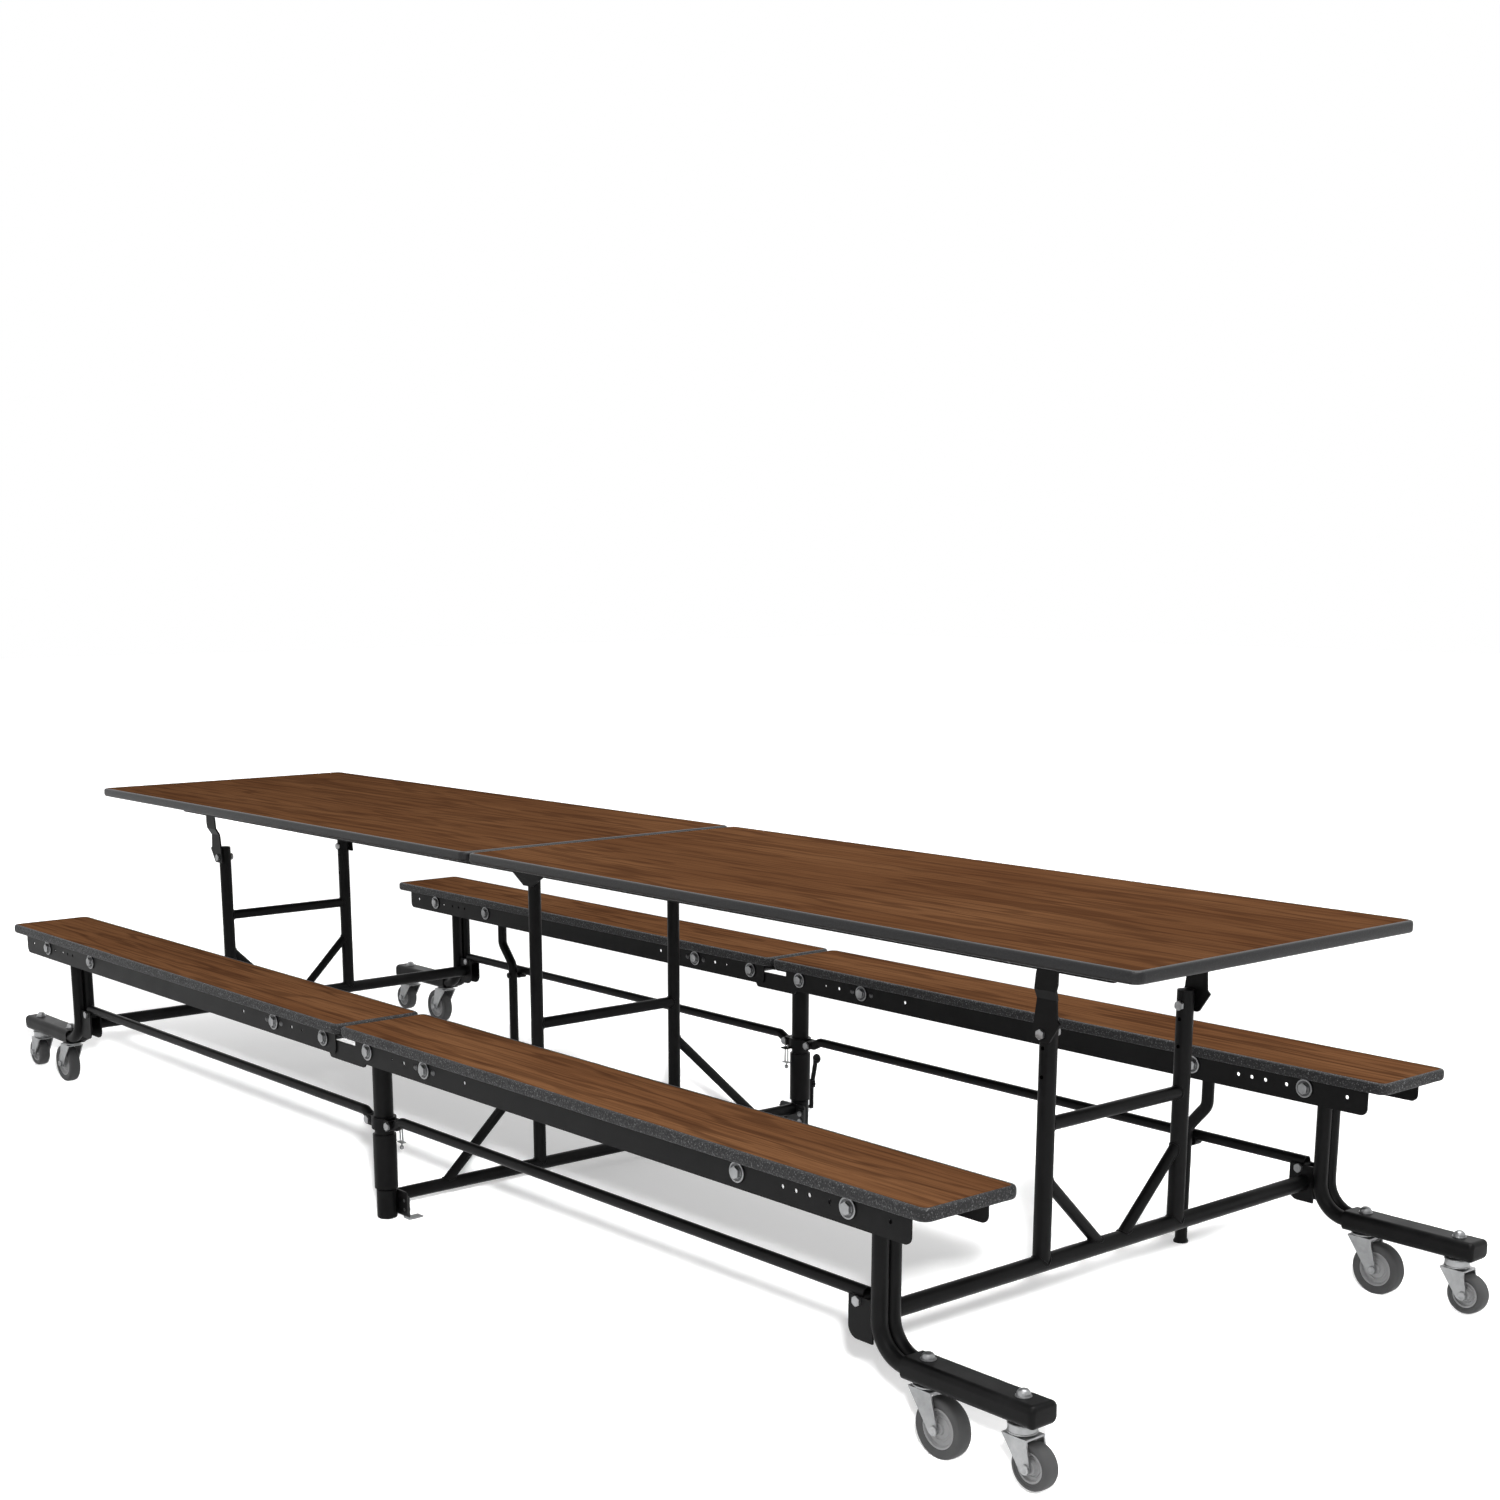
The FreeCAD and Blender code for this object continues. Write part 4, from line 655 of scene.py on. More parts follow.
@dataclass(frozen=True)
class ZincPlate(Finish):
    """Bright zinc plate, softly clouded."""

    name: str = "zinc_plate"
    dull: Colour = (0.29, 0.295, 0.30)
    bright: Colour = (0.48, 0.485, 0.49)
    roughness: float = 0.34
    metallic: float = 0.85
    depth: float = 0.06
    crystal: float = 160.0          # crystals to a metre
    crystal_share: float = 0.07     # of the shade that comes from them

    def lay(self, nodes: Shading) -> None:
        """Mix the clouds with faint crystals, which change colour and gloss.

        Args:
            nodes: the material's nodes.
        """
        skin = nodes.group("skin", Depth=self.depth)
        crystals = nodes.add("ShaderNodeTexVoronoi", {"Vector": nodes.place, "Scale": self.crystal})
        spark = nodes.add("ShaderNodeSeparateColor", {0: crystals.outputs["Color"]}).outputs[0]
        shade = nodes.math("ADD", nodes.math("MULTIPLY", skin["Cloud"], 1 - self.crystal_share),
                           nodes.math("MULTIPLY", spark, self.crystal_share))
        nodes.feed(Base_Color=nodes.mix(nodes.spread(shade, 0.3, 0.7), self.dull, self.bright),
                   Roughness=nodes.spread(shade, 0.3, 0.7, self.roughness + 0.08, self.roughness - 0.06),
                   Metallic=self.metallic, Normal=skin["Normal"])


@dataclass(frozen=True)
class RailHardware(Finish):
    """Zinc outside the rails, black paint on what lies between them."""

    name: str = "rail_hardware"
    # the washers' grey zinc, darkened further as painted shade so the grooves between the raised rings read
    # dark
    zinc: Colour = (0.085, 0.086, 0.088)
    paint: Colour = (0.0085, 0.0085, 0.0088)
    brightest: float = 1.3          # of the clouded zinc, as a multiple of its colour
    inside: float = 0.0003          # how far the zinc starts inside a rail's face

    def zinc_zone(self, nodes: Shading) -> NodeSocket:
        """One outside the faces of the rails, and nought between them.

        Args:
            nodes: the material's nodes.

        Returns:
            The mask.
        """
        across = nodes.math("ABSOLUTE", nodes.axis(nodes.place, 1))
        off_line = nodes.math("ABSOLUTE", nodes.math("SUBTRACT", across, BENCH_LINE))
        return nodes.math("GREATER_THAN", off_line, RAIL_FACE - self.inside)

    def lay(self, nodes: Shading) -> None:
        """Lay clouded zinc in its zone and paint elsewhere.

        Args:
            nodes: the material's nodes.
        """
        zone = self.zinc_zone(nodes)
        skin = nodes.group("skin")
        clouded = nodes.mix(nodes.spread(skin["Cloud"], 0.3, 0.7), self.zinc,
                            tuple(self.brightest * part for part in self.zinc))
        nodes.feed(Base_Color=nodes.mix(zone, self.paint, clouded),
                   Roughness=nodes.spread(zone, 0.0, 1.0, 0.4, 0.36),
                   Metallic=nodes.math("MULTIPLY", zone, 0.8), Normal=skin["Normal"])


@dataclass(frozen=True)
class FootPlates(RailHardware):
    """Zinc on the soles of the feet, black paint on the plates that stand on them."""

    name: str = "foot_plates"
    zinc: Colour = (0.26, 0.264, 0.268)
    sole: float = 0.0055            # height of the zinc

    def zinc_zone(self, nodes: Shading) -> NodeSocket:
        """One in the soles, and nought above them."""
        return nodes.math("LESS_THAN", nodes.axis(nodes.place, 2), self.sole)


# ------------------------------------------------------------------ pieces

def finish_piece(piece: Object, body: str, material: Material) -> Object:
    """Dress a new piece and let it ride on its body.

    Args:
        piece: the new piece.
        body: the body that carries it.
        material: its material.

    Returns:
        The piece.
    """
    piece.data.materials.append(material)
    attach(piece, body)
    LOG.info("%s rides on %s", piece.name, body)
    return piece


@dataclass
class Board:
    """One half of a laminated board: core, face sheet, backing sheet and moulded edge."""

    node: str
    body: str
    slot: str
    edge: str                       # name of the edge's finish
    edge_depth: float = 0.0085      # how far the moulded edge reaches in over the board
    sheet: float = 0.0012           # thickness of the laminate
    proud: float = 0.0004           # how far the edge stands above the laminate
    squareness: float = 0.62        # power of the edge's oval section: 1 is round, 0 is square

    def outline(self, inset: float) -> np.ndarray:
        """Outline of the board, moved inwards.

        Args:
            inset: how far it moves.

        Returns:
            Rows of x, y, outward x, outward y.
        """
        low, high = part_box(self.node)
        return rounded_outline((low.x + inset, low.y + inset), (high.x - inset, high.y - inset),
                               BOARD_CORNER - inset)

    def edge_band(self) -> Object:
        """Moulded edge: half an oval carried round the outline, closed by a flat inner wall.

        Out of the board the section is e (|cos a|^p - 1), and upwards it is
        T/2 (sign(sin a) |sin a|^p - 1), for a from -90 to 90 degrees.

        Returns:
            The closed band.
        """
        low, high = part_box(self.node)
        thickness = high.z - low.z
        angle = np.linspace(-np.pi / 2, np.pi / 2, 15)
        out = self.edge_depth * (np.abs(np.cos(angle)) ** self.squareness - 1)
        lift = thickness / 2 * (np.sign(np.sin(angle)) * np.abs(np.sin(angle)) ** self.squareness - 1)
        path = self.outline(0.0)
        plane = path[:, None, :2] + path[:, None, 2:] * out[None, :, None]
        height = np.broadcast_to((high.z + lift)[None, :, None], (len(path), len(angle), 1))
        points = np.concatenate([plane, height], axis=-1)
        faces = grid_faces(len(path), len(angle), True, True)[:, ::-1]
        return shape(self.node + "_edge_band", points, faces.tolist())

    def build(self, finishes: Finishes, laminate: Material) -> None:
        """Make and dress the four pieces of the board.

        Args:
            finishes: the shared materials.
            laminate: this board's own laminate.
        """
        low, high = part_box(self.node)
        inner = self.outline(self.edge_depth)
        bottom, top = low.z + self.proud, high.z - self.proud
        layers = (("_face_sheet", top - self.sheet, top, laminate),
                  ("_core", bottom + self.sheet, top - self.sheet, finishes["board"]),
                  ("_backing_sheet", bottom, bottom + self.sheet, finishes["backing"]))
        sheets = [(prism(self.node + part, inner, under, over), material)
                  for part, under, over, material in layers]
        band = finish_piece(self.edge_band(), self.body, finishes[self.edge])
        for sheet, material in sheets:
            finish_piece(sheet, self.body, material)
        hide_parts(self.node)


@dataclass
class Wheel:
    """Caster wheel: a soft tyre on a dished hub."""

    where: str
    radius: float
    width: float = 0.030
    rim_share: float = 0.66         # hub radius as a share of the wheel's
    bore: float = 0.0052
    crown_fall: float = 0.0085      # from the tread's middle to its edges
    crown_power: float = 3.2        # of the tread's superellipse: 2 is round, more is squarer
    segments: int = 72

    def centre(self) -> Point:
        """Middle of the wheel, from its node's box."""
        low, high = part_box("caster_wheel_" + self.where)
        return tuple((low + high) / 2)

    def tyre_section(self) -> np.ndarray:
        """Tyre section: a superellipse tread that meets the rim.

        The tread is r = R - f (1 - (1 - |h/w|^p)^(1/p)), with w half of the width, f the fall
        and p the power.

        Returns:
            Rows of r, h.
        """
        half = self.width / 2
        rim = self.radius * self.rim_share
        height = half * np.sin(np.linspace(-np.pi / 2, np.pi / 2, 25))
        power = self.crown_power
        round_part = np.clip(1 - np.abs(height / half) ** power, 0, 1) ** (1 / power)
        outer = np.column_stack([self.radius - self.crown_fall * (1 - round_part), height])
        inner = np.array([[rim + 0.004, half - 0.0012], [rim, half - 0.0026], [rim, 0.0026 - half],
                          [rim + 0.004, 0.0012 - half]])
        return np.concatenate([outer, inner])

    def hub_section(self) -> np.ndarray:
        """Hub section: a boss, a dished web with a raised ring, and a rim lip, the same on both faces.

        Returns:
            Rows of r, h.
        """
        half = self.width / 2
        bore, rim = self.bore, self.radius * self.rim_share
        boss = [[bore, half - 0.0005], [bore + 0.0045, half - 0.0005], [bore + 0.0055, half - 0.0015],
                [bore + 0.0060, half - 0.0060]]
        web = [[rim * 0.52, half - 0.0085], [rim * 0.60, half - 0.0070], [rim * 0.68, half - 0.0088],
               [rim * 0.84, half - 0.0082]]
        lip = [[rim - 0.0030, half - 0.0030], [rim - 0.0012, half - 0.0022], [rim, half - 0.0028]]
        side = np.array(boss + web + lip)
        return np.concatenate([side[::-1], side * np.array([1, -1])])[::-1]

    def build(self, finishes: Finishes) -> None:
        """Make and dress the tyre and the hub.

        Args:
            finishes: the shared materials.
        """
        tyre, hub = [joined(part + self.where, [revolved(section, self.centre(), (0, 1, 0), self.segments)])
                     for part, section in (("tyre_", self.tyre_section()), ("hub_", self.hub_section()))]
        for piece, finish in ((tyre, "rubber"), (hub, "hub")):
            finish_piece(piece, "wheel_" + self.where, finishes[finish])
        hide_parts("caster_wheel_" + self.where)


@dataclass
class Fasteners:
    """Hex heads, stepped washers and dome caps over the fasteners of one node."""

    node: str
    body: str
    hidden: Sequence[Tube] = ()     # tip, way out and radius of heads that touch other solids
    head_over: float = 0.0002       # how far a head stands out round the plain one under it
    head_share: float = 1.6         # radius of a head, as a multiple of its shank's
    head_end: float = 0.7           # an end at least this share of the radius is a head
    plain: tuple[float, ...] = (0.0080, 0.0064)         # radii of the plain heads
    dome_radius: float = 0.0130
    washer: float = 0.018           # radius of a wide washer
    wide_nut: float = 0.0194        # across the flats of the nut on a wide washer
    wide_nut_height: float = 0.0063
    proud: float = 0.0003           # how far nuts and domes stand out past the plain solid
    flange: float = 0.0018          # height of a dome nut's flange
    cap: float = 0.0111             # radius of its cap
    cap_power: float = 2.4          # of the cap's superellipse

    def solids(self) -> list[np.ndarray]:
        """Points of each separate solid of the node, found by passing labels along shared corners.

        Returns:
            The points of each solid.
        """
        mesh = frame["nodes"][self.node].data
        flat = np.empty(3 * len(mesh.vertices))
        mesh.vertices.foreach_get("co", flat)
        corner = np.empty(len(mesh.loops), dtype=np.int64)
        mesh.loops.foreach_get("vertex_index", corner)
        points, index = np.unique(np.round(flat.reshape(-1, 3), 6), axis=0, return_inverse=True)
        faces = index.ravel()[corner].reshape(-1, 3)
        label = np.arange(len(points))
        while True:
            lowest = label[faces].min(axis=1)
            spread = label.copy()
            for column in range(3):
                np.minimum.at(spread, faces[:, column], lowest)
            spread = spread[spread]
            if np.array_equal(spread, label):
                break
            label = spread
        return [points[label == one] for one in np.unique(label)]

    def washer_rings(self, face: np.ndarray, axis: np.ndarray) -> list[Shell]:
        """Raised middle and raised rim of a pressed washer, bevelled rings on its face.

        Args:
            face: middle of the washer's face.
            axis: its way out.

        Returns:
            The two rings.
        """
        rings, half, bevel = [], 0.0004, 0.0003
        for inner, outer in ((0.0098, 0.0112), (0.0153, self.washer + 0.0001)):
            section = np.array([[inner, -half], [outer, -half], [outer, half], [outer - bevel, 2 * half],
                                [inner + bevel, 2 * half], [inner, half]])
            rings.append(revolved(section, tuple(face), tuple(axis)))
        return rings

    def dome(self, low: np.ndarray, high: np.ndarray) -> Shell:
        """Dome nut: a round-edged flange under a cap of the section (r/R)^p + (h/H)^p = 1.

        Args:
            low: lowest corner of the plain nut's box.
            high: its highest corner.

        Returns:
            The closed shell.
        """
        edge, base, bevel = (high[0] - low[0]) / 2 + self.head_over, self.flange, 0.0006
        height = high[2] - low[2] + self.proud - base
        angle = np.linspace(0, np.pi / 2, 12)
        across, up = np.cos(angle) ** (2 / self.cap_power), np.sin(angle) ** (2 / self.cap_power)
        section = np.column_stack([self.cap * across, base + height * up])
        section[-1, 0] = 0.0
        foot = np.array([[0.0, 0.0], [edge, 0.0], [edge, base - bevel], [edge - bevel, base]])
        middle = (low + high) / 2
        return revolved(np.concatenate([foot, section]), (middle[0], middle[1], low[2]), (0, 0, 1))

    def head(self, tip: np.ndarray, axis: np.ndarray, radius: float) -> Shell:
        """Hex head over a plain one that ends at the tip and is as thick as its shank's radius.

        Args:
            tip: middle of the plain head's end.
            axis: its way out.
            radius: its radius.

        Returns:
            The closed shell.
        """
        thick = radius / self.head_share
        return hex_head(2 * (radius + self.head_over), thick + self.head_over, 0.0, tuple(tip - axis * thick),
                        tuple(axis))

    def shells(self) -> list[Shell]:
        """Shells for every fastener of the node, by the radius of its solid.

        Returns:
            The shells.
        """
        made = [self.head(np.array(tip), np.array(axis), radius) for tip, axis, radius in self.hidden]
        for points in self.solids():
            low, high = points.min(axis=0), points.max(axis=0)
            size, middle = high - low, (low + high) / 2
            radius = size[0] / 2
            if abs(radius - self.dome_radius) < SAME and size[2] < size[0]:
                made.append(self.dome(low, high))
                continue
            for y, sign in ((low[1], -1.0), (high[1], 1.0)):
                tip, axis = np.array([middle[0], y, middle[2]]), np.array([0.0, sign, 0.0])
                if abs(radius - self.washer) < SAME:
                    face = tip - axis * (self.wide_nut_height - self.proud)
                    made += self.washer_rings(face, axis)
                    made.append(hex_head(self.wide_nut, self.wide_nut_height, 0.0, tuple(face), tuple(axis)))
                elif min(abs(radius - plain) for plain in self.plain) < SAME:
                    near = points[np.abs(points[:, 1] - y) < SAME] - middle
                    if np.hypot(near[:, 0], near[:, 2]).max() > self.head_end * radius:
                        made.append(self.head(tip, axis, radius))
        return made

    def build(self, finishes: Finishes, slot: str) -> None:
        """Make and dress one piece that holds all of them.

        Args:
            finishes: the shared materials.
            slot: the record's material slot; not used.
        """
        finish_piece(joined(self.node + "_heads", self.shells()), self.body, finishes["bolt_zinc"])


@dataclass
class TubeFrame:
    """Weld beads and end plugs of a frame: a cross tube, two uprights, a rung and two braces."""

    node: str
    body: str
    x: float
    radius: float                   # of the cross tube and the uprights
    low: float                      # height of the cross tube
    top: float                      # top of the uprights
    upright_y: float
    rung_z: float
    brace_top: float
    brace_foot: float
    rung_radius: float = 0.0127
    brace_radius: float = 0.0110
    bead: float = 0.0021
    wall: float = 0.0018
    shy: float = 0.9999             # keeps two equal tubes from meeting in a bare line

    def beads(self) -> list[Shell]:
        """One bead at each place where a tube runs into another.

        Returns:
            The beads.
        """
        made = []
        cross = ((self.x, 0.0, self.low), (0, 1, 0), self.radius)
        for row in Row:
            y = row.value * self.upright_y
            post = ((self.x, y, 0.0), (0, 0, 1), self.radius)
            high, foot = (self.x, y, self.brace_top), (self.x, row.value * self.brace_foot, self.low)
            slope = np.array(foot) - np.array(high)
            for main, branch in ((cross, ((self.x, y, self.low), (0, 0, 1), self.radius * self.shy)),
                                 (post, ((self.x, y, self.rung_z), (0, -row.value, 0), self.rung_radius)),
                                 (post, (high, tuple(slope), self.brace_radius)),
                                 (cross, (foot, tuple(-slope), self.brace_radius))):
                made.append(weld_bead(main, branch, self.bead))
        return made

    def plugs(self) -> list[Shell]:
        """Low domed plugs in the open tops of the uprights.

        Returns:
            The two plugs.
        """
        inside = self.radius - self.wall - 0.0001
        section = np.array([[0.0, -0.006], [inside, -0.006], [inside, 0.0002], [0.8 * inside, 0.0010],
                            [0.4 * inside, 0.0015], [0.0, 0.0017]])
        return [revolved(section, (self.x, row.value * self.upright_y, self.top), (0, 0, 1)) for row in Row]

    def build(self, finishes: Finishes, open_tops: bool) -> None:
        """Make and dress the beads, and the plugs where the tops are open.

        Args:
            finishes: the shared materials.
            open_tops: whether the uprights end in the open.
        """
        parts = [("_beads", self.beads(), "paint")] + [("_plugs", self.plugs(), "plug")] * open_tops
        for part, shells, finish in parts:
            finish_piece(joined(self.node + part, shells), self.body, finishes[finish])


@dataclass
class ArmCap:
    """Rounded cap on the outer end of a caster arm."""

    side: Side
    row: Row
    end_x: float = 1.874
    height: float = 0.136
    half_width: float = 0.0305
    half_depth: float = 0.019
    corner: float = 0.012
    nose: float = 0.009             # how far the cap stands out
    over: float = 0.0003

    def build(self, body: str, finishes: Finishes) -> None:
        """Make and dress the cap.

        Its outline shrinks by n (1 - cos a) while it runs out by n sin a, for a from 0 to 90
        degrees, n being the nose, so that its edge is a quarter round.

        Args:
            body: the body that carries it.
            finishes: the shared materials.
        """
        angle = np.linspace(0, np.pi / 2, 9)
        inset = np.concatenate([[self.nose, 0.0], self.nose * (1 - np.cos(angle))]) - self.over
        out = np.concatenate([[-0.003, -0.003], self.nose * np.sin(angle)])
        rings = []
        for shrink, run in zip(inset, out):
            ring_outline = rounded_outline((shrink - self.half_width, shrink - self.half_depth),
                                           (self.half_width - shrink, self.half_depth - shrink),
                                           self.corner - shrink)
            rings.append(np.column_stack([np.full(len(ring_outline), run), ring_outline[:, :2]]))
        grid = np.stack(rings)
        sign = self.side.value
        points = np.stack([sign * (self.end_x + grid[..., 0]), self.row.value * BENCH_LINE + grid[..., 1],
                           self.height + grid[..., 2]], axis=-1)
        faces = grid_faces(len(rings), grid.shape[1], False, True)[:, ::sign].tolist()
        count, last = grid.shape[1], (len(rings) - 1) * grid.shape[1]
        faces.append(list(range(count))[::-sign])
        faces.append([last + number for number in range(count)][::sign])
        name = "arm_cap_%s_%s" % (self.side.name.lower(), self.row.name.lower())
        finish_piece(shape(name, points, faces), body, finishes["paint"])


@dataclass
class SwivelHead:
    """Pressed lips round the ball race of one caster, and the buttons on its axle."""

    side: Side
    row: Row
    caster: Caster
    kingpin_x: float = 1.637        # of the inner caster
    arm_low: float = 0.117
    crown: float = 0.008            # wheel to the foot of the race
    race: float = 0.0230            # radius of the race's wall
    lip: float = 0.0014             # how far its lips stand out
    tip: float = 0.0255             # wheel's middle to the end of the axle
    button: float = 0.0083
    lower_lip: float = 0.0036       # its height over the foot of the race
    upper_lip: float = 0.0042       # its depth under the arm

    def build(self, body: str, finishes: Finishes) -> None:
        """Make and dress the lips and buttons.

        A lip is half a round, r = race + lip cos a, carried round the swivel's axis.

        Args:
            body: the fork's body.
            finishes: the shared materials.
        """
        caster = self.caster
        x = self.side.value * (self.kingpin_x + caster.offset)
        y = self.row.value * BENCH_LINE
        foot = caster.axle_z + caster.wheel_radius + self.crown
        angle = np.linspace(-np.pi / 2, np.pi / 2, 9)
        made, root = [], self.race - 0.001
        for level in (foot + self.lower_lip, self.arm_low - self.upper_lip):
            half = np.column_stack([self.race + self.lip * np.cos(angle), level + self.lip * np.sin(angle)])
            back = np.array([[root, level + self.lip], [root, level - self.lip]])
            made.append(revolved(np.concatenate([half, back]), (x, y, 0.0), (0, 0, 1)))
        section = np.array([[0.0, -0.0039], [self.button, -0.0039], [self.button, -0.0008],
                            [self.button - 0.0012, 0.0004], [0.0052, 0.0006], [0.0046, 0.0002],
                            [0.0, 0.0002]])
        axle_x = x + self.side.value * caster.trail
        made += [revolved(section, (axle_x, y + sign * self.tip, caster.axle_z), (0.0, sign, 0.0), 32)
                 for sign in (-1.0, 1.0)]
        name = "swivel_head_%s_%s_%s" % (self.side.name.lower(), self.row.name.lower(), caster.kind)
        finish_piece(joined(name, made), body, finishes["zinc"])


@dataclass
class Studio:
    """Camera, pale floor, lamps and world."""

    eye: Point = (3.835, -2.883, 1.371)
    turn: Point = (1.345, 0.001, 0.869)
    lens: float = 50.63
    shift_x: float = 0.0166
    shift_y: float = 0.204
    floor_shade: float = 0.88
    floor_bounce: float = 0.42      # shade of the floor as it lights the table from below
    near_lift: float = 0.26         # white added to the floor under the table
    far_lift: float = 0.62          # and far from it, where the front lamp is faint
    front_place: Point = (3.91, -2.79, 1.75)
    front_power: float = 25.0       # of the lamp beside the camera, which lights the floor alone
    lift_span: tuple[float, float] = (2.4, 6.5)     # distances over which the lift grows
    sky: float = 0.62               # strength of the surroundings as a light

    def camera(self) -> None:
        """Place the camera."""
        data = bpy.data.cameras.new("camera")
        data.sensor_width = 36.0
        data.lens = self.lens
        data.shift_x = self.shift_x
        data.shift_y = self.shift_y
        eye = bpy.data.objects.new("camera", data)
        eye.location = self.eye
        eye.rotation_euler = self.turn
        bpy.context.scene.collection.objects.link(eye)
        bpy.context.scene.camera = eye

    def lamp(self, name: str, place: Point, target: Point, size: float, power: float) -> Object:
        """Add one soft square lamp.

        Args:
            name: the lamp's name.
            place: where it hangs.
            target: the point that it faces.
            size: its side, in metres.
            power: its power, in watts.

        Returns:
            The lamp.
        """
        data = bpy.data.lights.new(name, "AREA")
        data.size = size
        data.energy = power
        lamp = bpy.data.objects.new(name, data)
        lamp.location = place
        lamp.rotation_euler = (Vector(target) - Vector(place)).to_track_quat("-Z", "Y").to_euler()
        bpy.context.scene.collection.objects.link(lamp)
        return lamp

    def even(self, lamp: Object) -> None:
        """Make a lamp as strong far off as near by.

        Args:
            lamp: the lamp to change.
        """
        lamp.data.use_nodes = True
        nodes = Nodes(lamp.data.node_tree)
        falloff = nodes.add("ShaderNodeLightFalloff", {"Strength": 1.0})
        nodes.tree.links.new(falloff.outputs["Constant"], nodes.tree.nodes["Emission"].inputs["Strength"])

    def seen(self, nodes: Nodes) -> NodeSocket:
        """One where the camera, a gloss or a clear body looks, and nought where only light falls.

        Args:
            nodes: the material's nodes.

        Returns:
            The mask.
        """
        path = nodes.add("ShaderNodeLightPath")
        other = nodes.math("MAXIMUM", path.outputs["Is Glossy Ray"], path.outputs["Is Transmission Ray"])
        return nodes.math("MAXIMUM", path.outputs["Is Camera Ray"], other)

    def pale_material(self) -> Material:
        """White that takes shadows, lifted where a camera or a gloss sees it, and more so far out.

        Returns:
            The material.
        """
        material = bpy.data.materials.new("pale_floor")
        material.use_nodes = True
        nodes = Nodes(material.node_tree)
        material.node_tree.nodes.clear()
        camera = nodes.add("ShaderNodeLightPath").outputs["Is Camera Ray"]
        colour = nodes.mix(camera, (self.floor_bounce,) * 3, (self.floor_shade,) * 3)
        matte = nodes.add("ShaderNodeBsdfDiffuse", {"Color": colour})
        place = nodes.add("ShaderNodeTexCoord").outputs["Object"]
        distance = nodes.add("ShaderNodeVectorMath", {0: place}, operation="LENGTH").outputs["Value"]
        lift = nodes.math("MULTIPLY", self.seen(nodes),
                          nodes.spread(distance, *self.lift_span, self.near_lift, self.far_lift))
        white = nodes.add("ShaderNodeEmission", {"Color": (1.0, 1.0, 1.0, 1.0), "Strength": lift})
        both = nodes.add("ShaderNodeAddShader", {0: matte.outputs[0], 1: white.outputs[0]})
        nodes.add("ShaderNodeOutputMaterial", {0: both.outputs[0]})
        return material

    def floor(self) -> Object:
        """Lay a wide pale floor under the wheels.

        Returns:
            The floor.
        """
        half = 30.0
        corners = np.array([[-half, -half, 0], [half, -half, 0], [half, half, 0], [-half, half, 0]])
        floor = shape("floor", corners, [[0, 1, 2, 3]], smooth=False)
        floor.data.materials.append(self.pale_material())
        return floor

    def world(self) -> None:
        """White surroundings: full white where seen, softer as light."""
        world = bpy.data.worlds.new("surroundings")
        bpy.context.scene.world = world
        world.use_nodes = True
        nodes = Nodes(world.node_tree)
        world.node_tree.nodes.clear()
        strength = nodes.spread(self.seen(nodes), 0.0, 1.0, self.sky, 1.0)
        light = nodes.add("ShaderNodeBackground", {"Color": (1.0, 1.0, 1.0, 1.0), "Strength": strength})
        nodes.add("ShaderNodeOutputWorld", {0: light.outputs[0]})

    def build(self) -> None:
        """Set up the whole studio."""
        self.camera()
        floor = self.floor()
        self.world()
        front = self.lamp("front_lamp", place=self.front_place, target=(0.6, 0.0, 0.0), size=0.22,
                          power=self.front_power)
        lit = bpy.data.collections.new("front_lamp_lights")
        lit.objects.link(floor)
        front.light_linking.receiver_collection = lit
        self.even(front)
        self.lamp("key_lamp", place=(1.6, 0.6, 5.2), target=(0.2, 0.0, 0.4), size=3.2, power=215.0)
        self.lamp("fill_lamp", place=(3.6, -3.4, 4.2), target=(0.4, 0.0, 0.4), size=3.0, power=55.0)
        bpy.context.scene.view_settings.view_transform = "Standard"


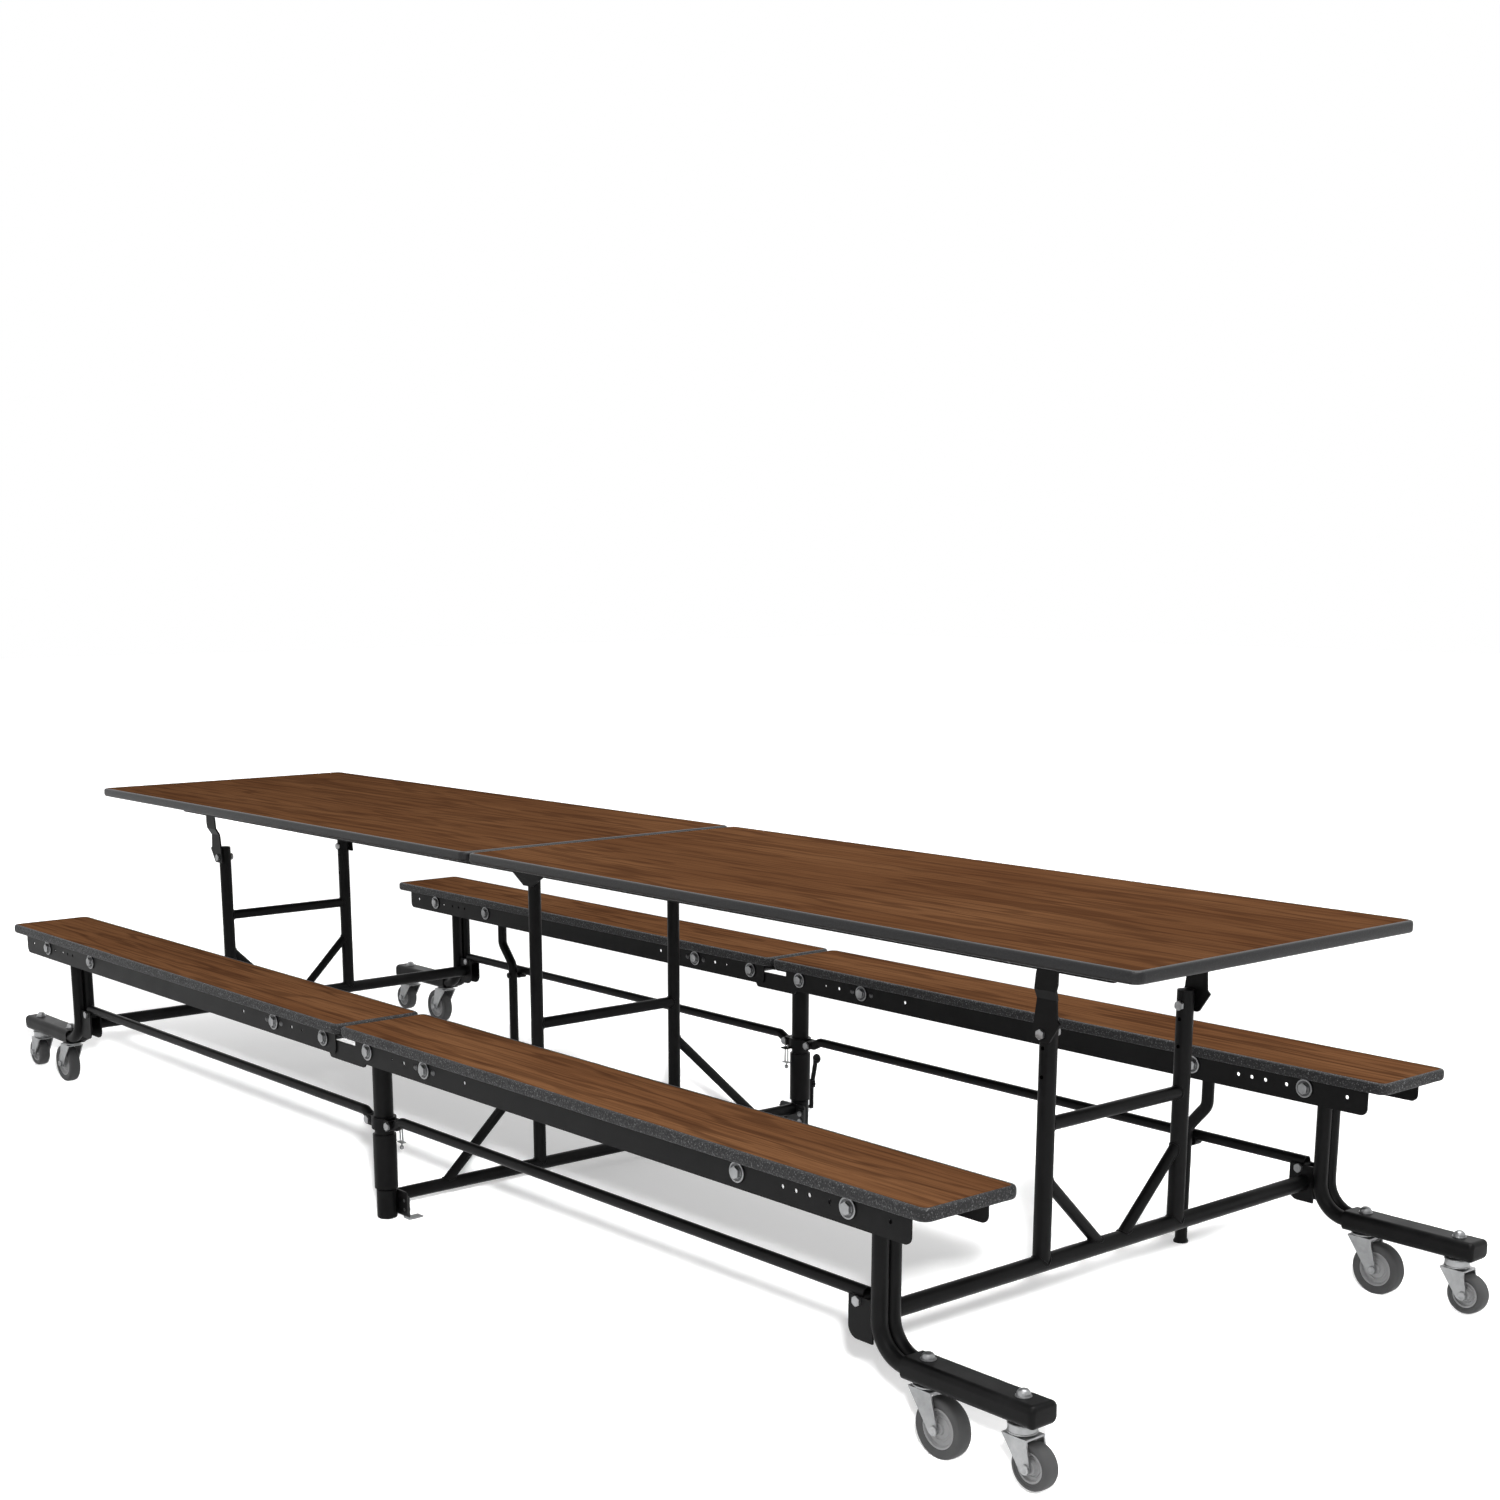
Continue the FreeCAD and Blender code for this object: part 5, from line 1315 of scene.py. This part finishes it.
@dataclass
class BenchTable:
    """The whole table: dresses the frame's nodes and adds the fine pieces."""

    link_pivot_x: float = 1.518     # pivot of the top's rails on a swing link
    frame_pivot_x: float = 0.084    # and on the centre frame
    outer_tip: float = 0.225        # how far out a pivot's two ends lie
    inner_tip: float = 0.2075
    head_radius: float = 0.008
    seed_step: float = 3.7          # between the figures of two boards

    def finishes(self, groups: dict[str, NodeTree]) -> Finishes:
        """Make the shared materials.

        Args:
            groups: shared node groups by name.

        Returns:
            The materials by key.
        """
        kinds = {
            "paint": PowderCoat(),
            "bolts": PowderCoat("black_oxide", (0.016, 0.016, 0.0165), (0.03, 0.03, 0.031), 0.42, 0.05),
            "zinc": ZincPlate(),
            "bolt_zinc": ZincPlate("bolt_zinc", (0.25, 0.254, 0.258), (0.42, 0.424, 0.43)),
            "rail_hardware": RailHardware(),
            "foot_plates": FootPlates(),
            "vinyl": PebbledVinyl(),
            # its second colour is the painted highlight on the pebbles' tops
            "smooth_vinyl": PebbledVinyl("fine_vinyl", (0.008, 0.008, 0.009), (0.034, 0.035, 0.036),
                                         pebble=560.0, depth=0.14, roughness=(0.40, 0.30)),
            "plug": Moulded("black_plug", (0.010, 0.010, 0.010), (0.016, 0.016, 0.016), 0.5, 0.05),
            "board": Moulded("board_core", (0.21, 0.15, 0.10), (0.26, 0.19, 0.13), 0.8, 0.1),
            "backing": Moulded("brown_backing", (0.020, 0.014, 0.010), (0.028, 0.020, 0.015), 0.55, 0.05),
            "rubber": Moulded(),
            "hub": Moulded("grey_hub", (0.34, 0.34, 0.345), (0.41, 0.41, 0.415), 0.4, 0.03),
        }
        return {key: finish.make(groups) for key, finish in kinds.items()}

    def dress(self, finishes: Finishes) -> None:
        """Give every node of the frame its material.

        Args:
            finishes: the shared materials.
        """
        by_slot = {"black_paint": "paint", "black_bolts": "bolts", "zinc": "zinc", "wheel": "rubber",
                   "table_top": "vinyl", "bench_top": "vinyl"}
        by_name = {"bench_bolts": "rail_hardware", "end_frame_bolts": "bolt_zinc", "lock_lever": "bolts",
                   "centre_leg_bolts": "bolt_zinc", "centre_feet": "foot_plates"}
        slots = {row["node"]: row["material_slot"] for row in frame["record"]["subparts"]}
        for name, node in frame["nodes"].items():
            own = [key for start, key in by_name.items() if name.startswith(start)]
            node.data.materials.clear()
            node.data.materials.append(finishes[own[0] if own else by_slot[slots[name]]])

    def pivot_heads(self, side: Side) -> list[Tube]:
        """Tip, way out and radius of the heads on one top half's pivots, which touch its rails.

        Args:
            side: the half.

        Returns:
            The heads.
        """
        ends = ((self.link_pivot_x, self.outer_tip, 1), (self.link_pivot_x, self.inner_tip, -1),
                (self.frame_pivot_x, self.outer_tip, 1))
        return [((side.value * x, row.value * y, TOP_PIVOT_Z), (0.0, row.value * out, 0.0), self.head_radius)
                for row in Row for x, y, out in ends]

    def build(self) -> None:
        """Build every piece."""
        groups = {"skin": skin_group(), "grain": grain_group()}
        finishes = self.finishes(groups)
        self.dress(finishes)
        carried = frame["record"]["behaviour"]["bodies"]
        bodies = {node: body for body, nodes in carried.items() for node in nodes}
        number = 0
        for side in Side:
            word = side.name.lower()
            # the top's laminate gets a painted shade, darker than the benches' same laminate, to offset the
            # stronger light on the top
            boards = [("tabletop_" + word, "table_top", "smooth_vinyl", TOP_PAINTED_SHADE)]
            boards += [("bench_board_%s_%s" % (word, row.name.lower()), "bench_top", "vinyl", 1.0)
                       for row in Row]
            for node, slot, edge, shade in boards:
                laminate = WalnutLaminate("walnut_" + node, self.seed_step * number, shade=shade)
                Board(node, bodies[node], slot, edge).build(finishes, laminate.make(groups))
                number += 1
            for row in Row:
                for caster in CASTERS:
                    where = "%s_%s_%s" % (word, row.name.lower(), caster.kind)
                    Wheel(where, caster.wheel_radius).build(finishes)
                    SwivelHead(side, row, caster).build(bodies["caster_fork_" + where], finishes)
                ArmCap(side, row).build(bodies["end_leg_%s_%s" % (word, row.name.lower())], finishes)
            for kind in ("bench_bolts_", "end_frame_bolts_"):
                Fasteners(kind + word, bodies[kind + word]).build(finishes, "zinc")
            node = "tabletop_rails_" + word
            Fasteners(node, bodies[node], self.pivot_heads(side)).build(finishes, "zinc")
            node = "end_frame_" + word
            TubeFrame(node, bodies[node], x=side.value * 1.501, radius=0.0159, low=0.188, top=0.630,
                      upright_y=0.186, rung_z=0.439, brace_top=0.344, brace_foot=0.026).build(finishes, True)
        for node in ("centre_leg_bolts", "centre_frame_bolts"):
            Fasteners(node, bodies[node]).build(finishes, "zinc")
        TubeFrame("centre_frame", bodies["centre_frame"], x=0.0, radius=0.0143, low=0.048, top=0.744,
                  upright_y=0.198, rung_z=0.375, brace_top=0.289, brace_foot=0.458).build(finishes, False)


def main() -> None:
    """Build the table and its studio."""
    logging.basicConfig(level=logging.INFO, format="%(message)s")
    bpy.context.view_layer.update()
    BenchTable().build()
    Studio().build()
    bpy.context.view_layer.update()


if __name__ == "__main__":
    main()
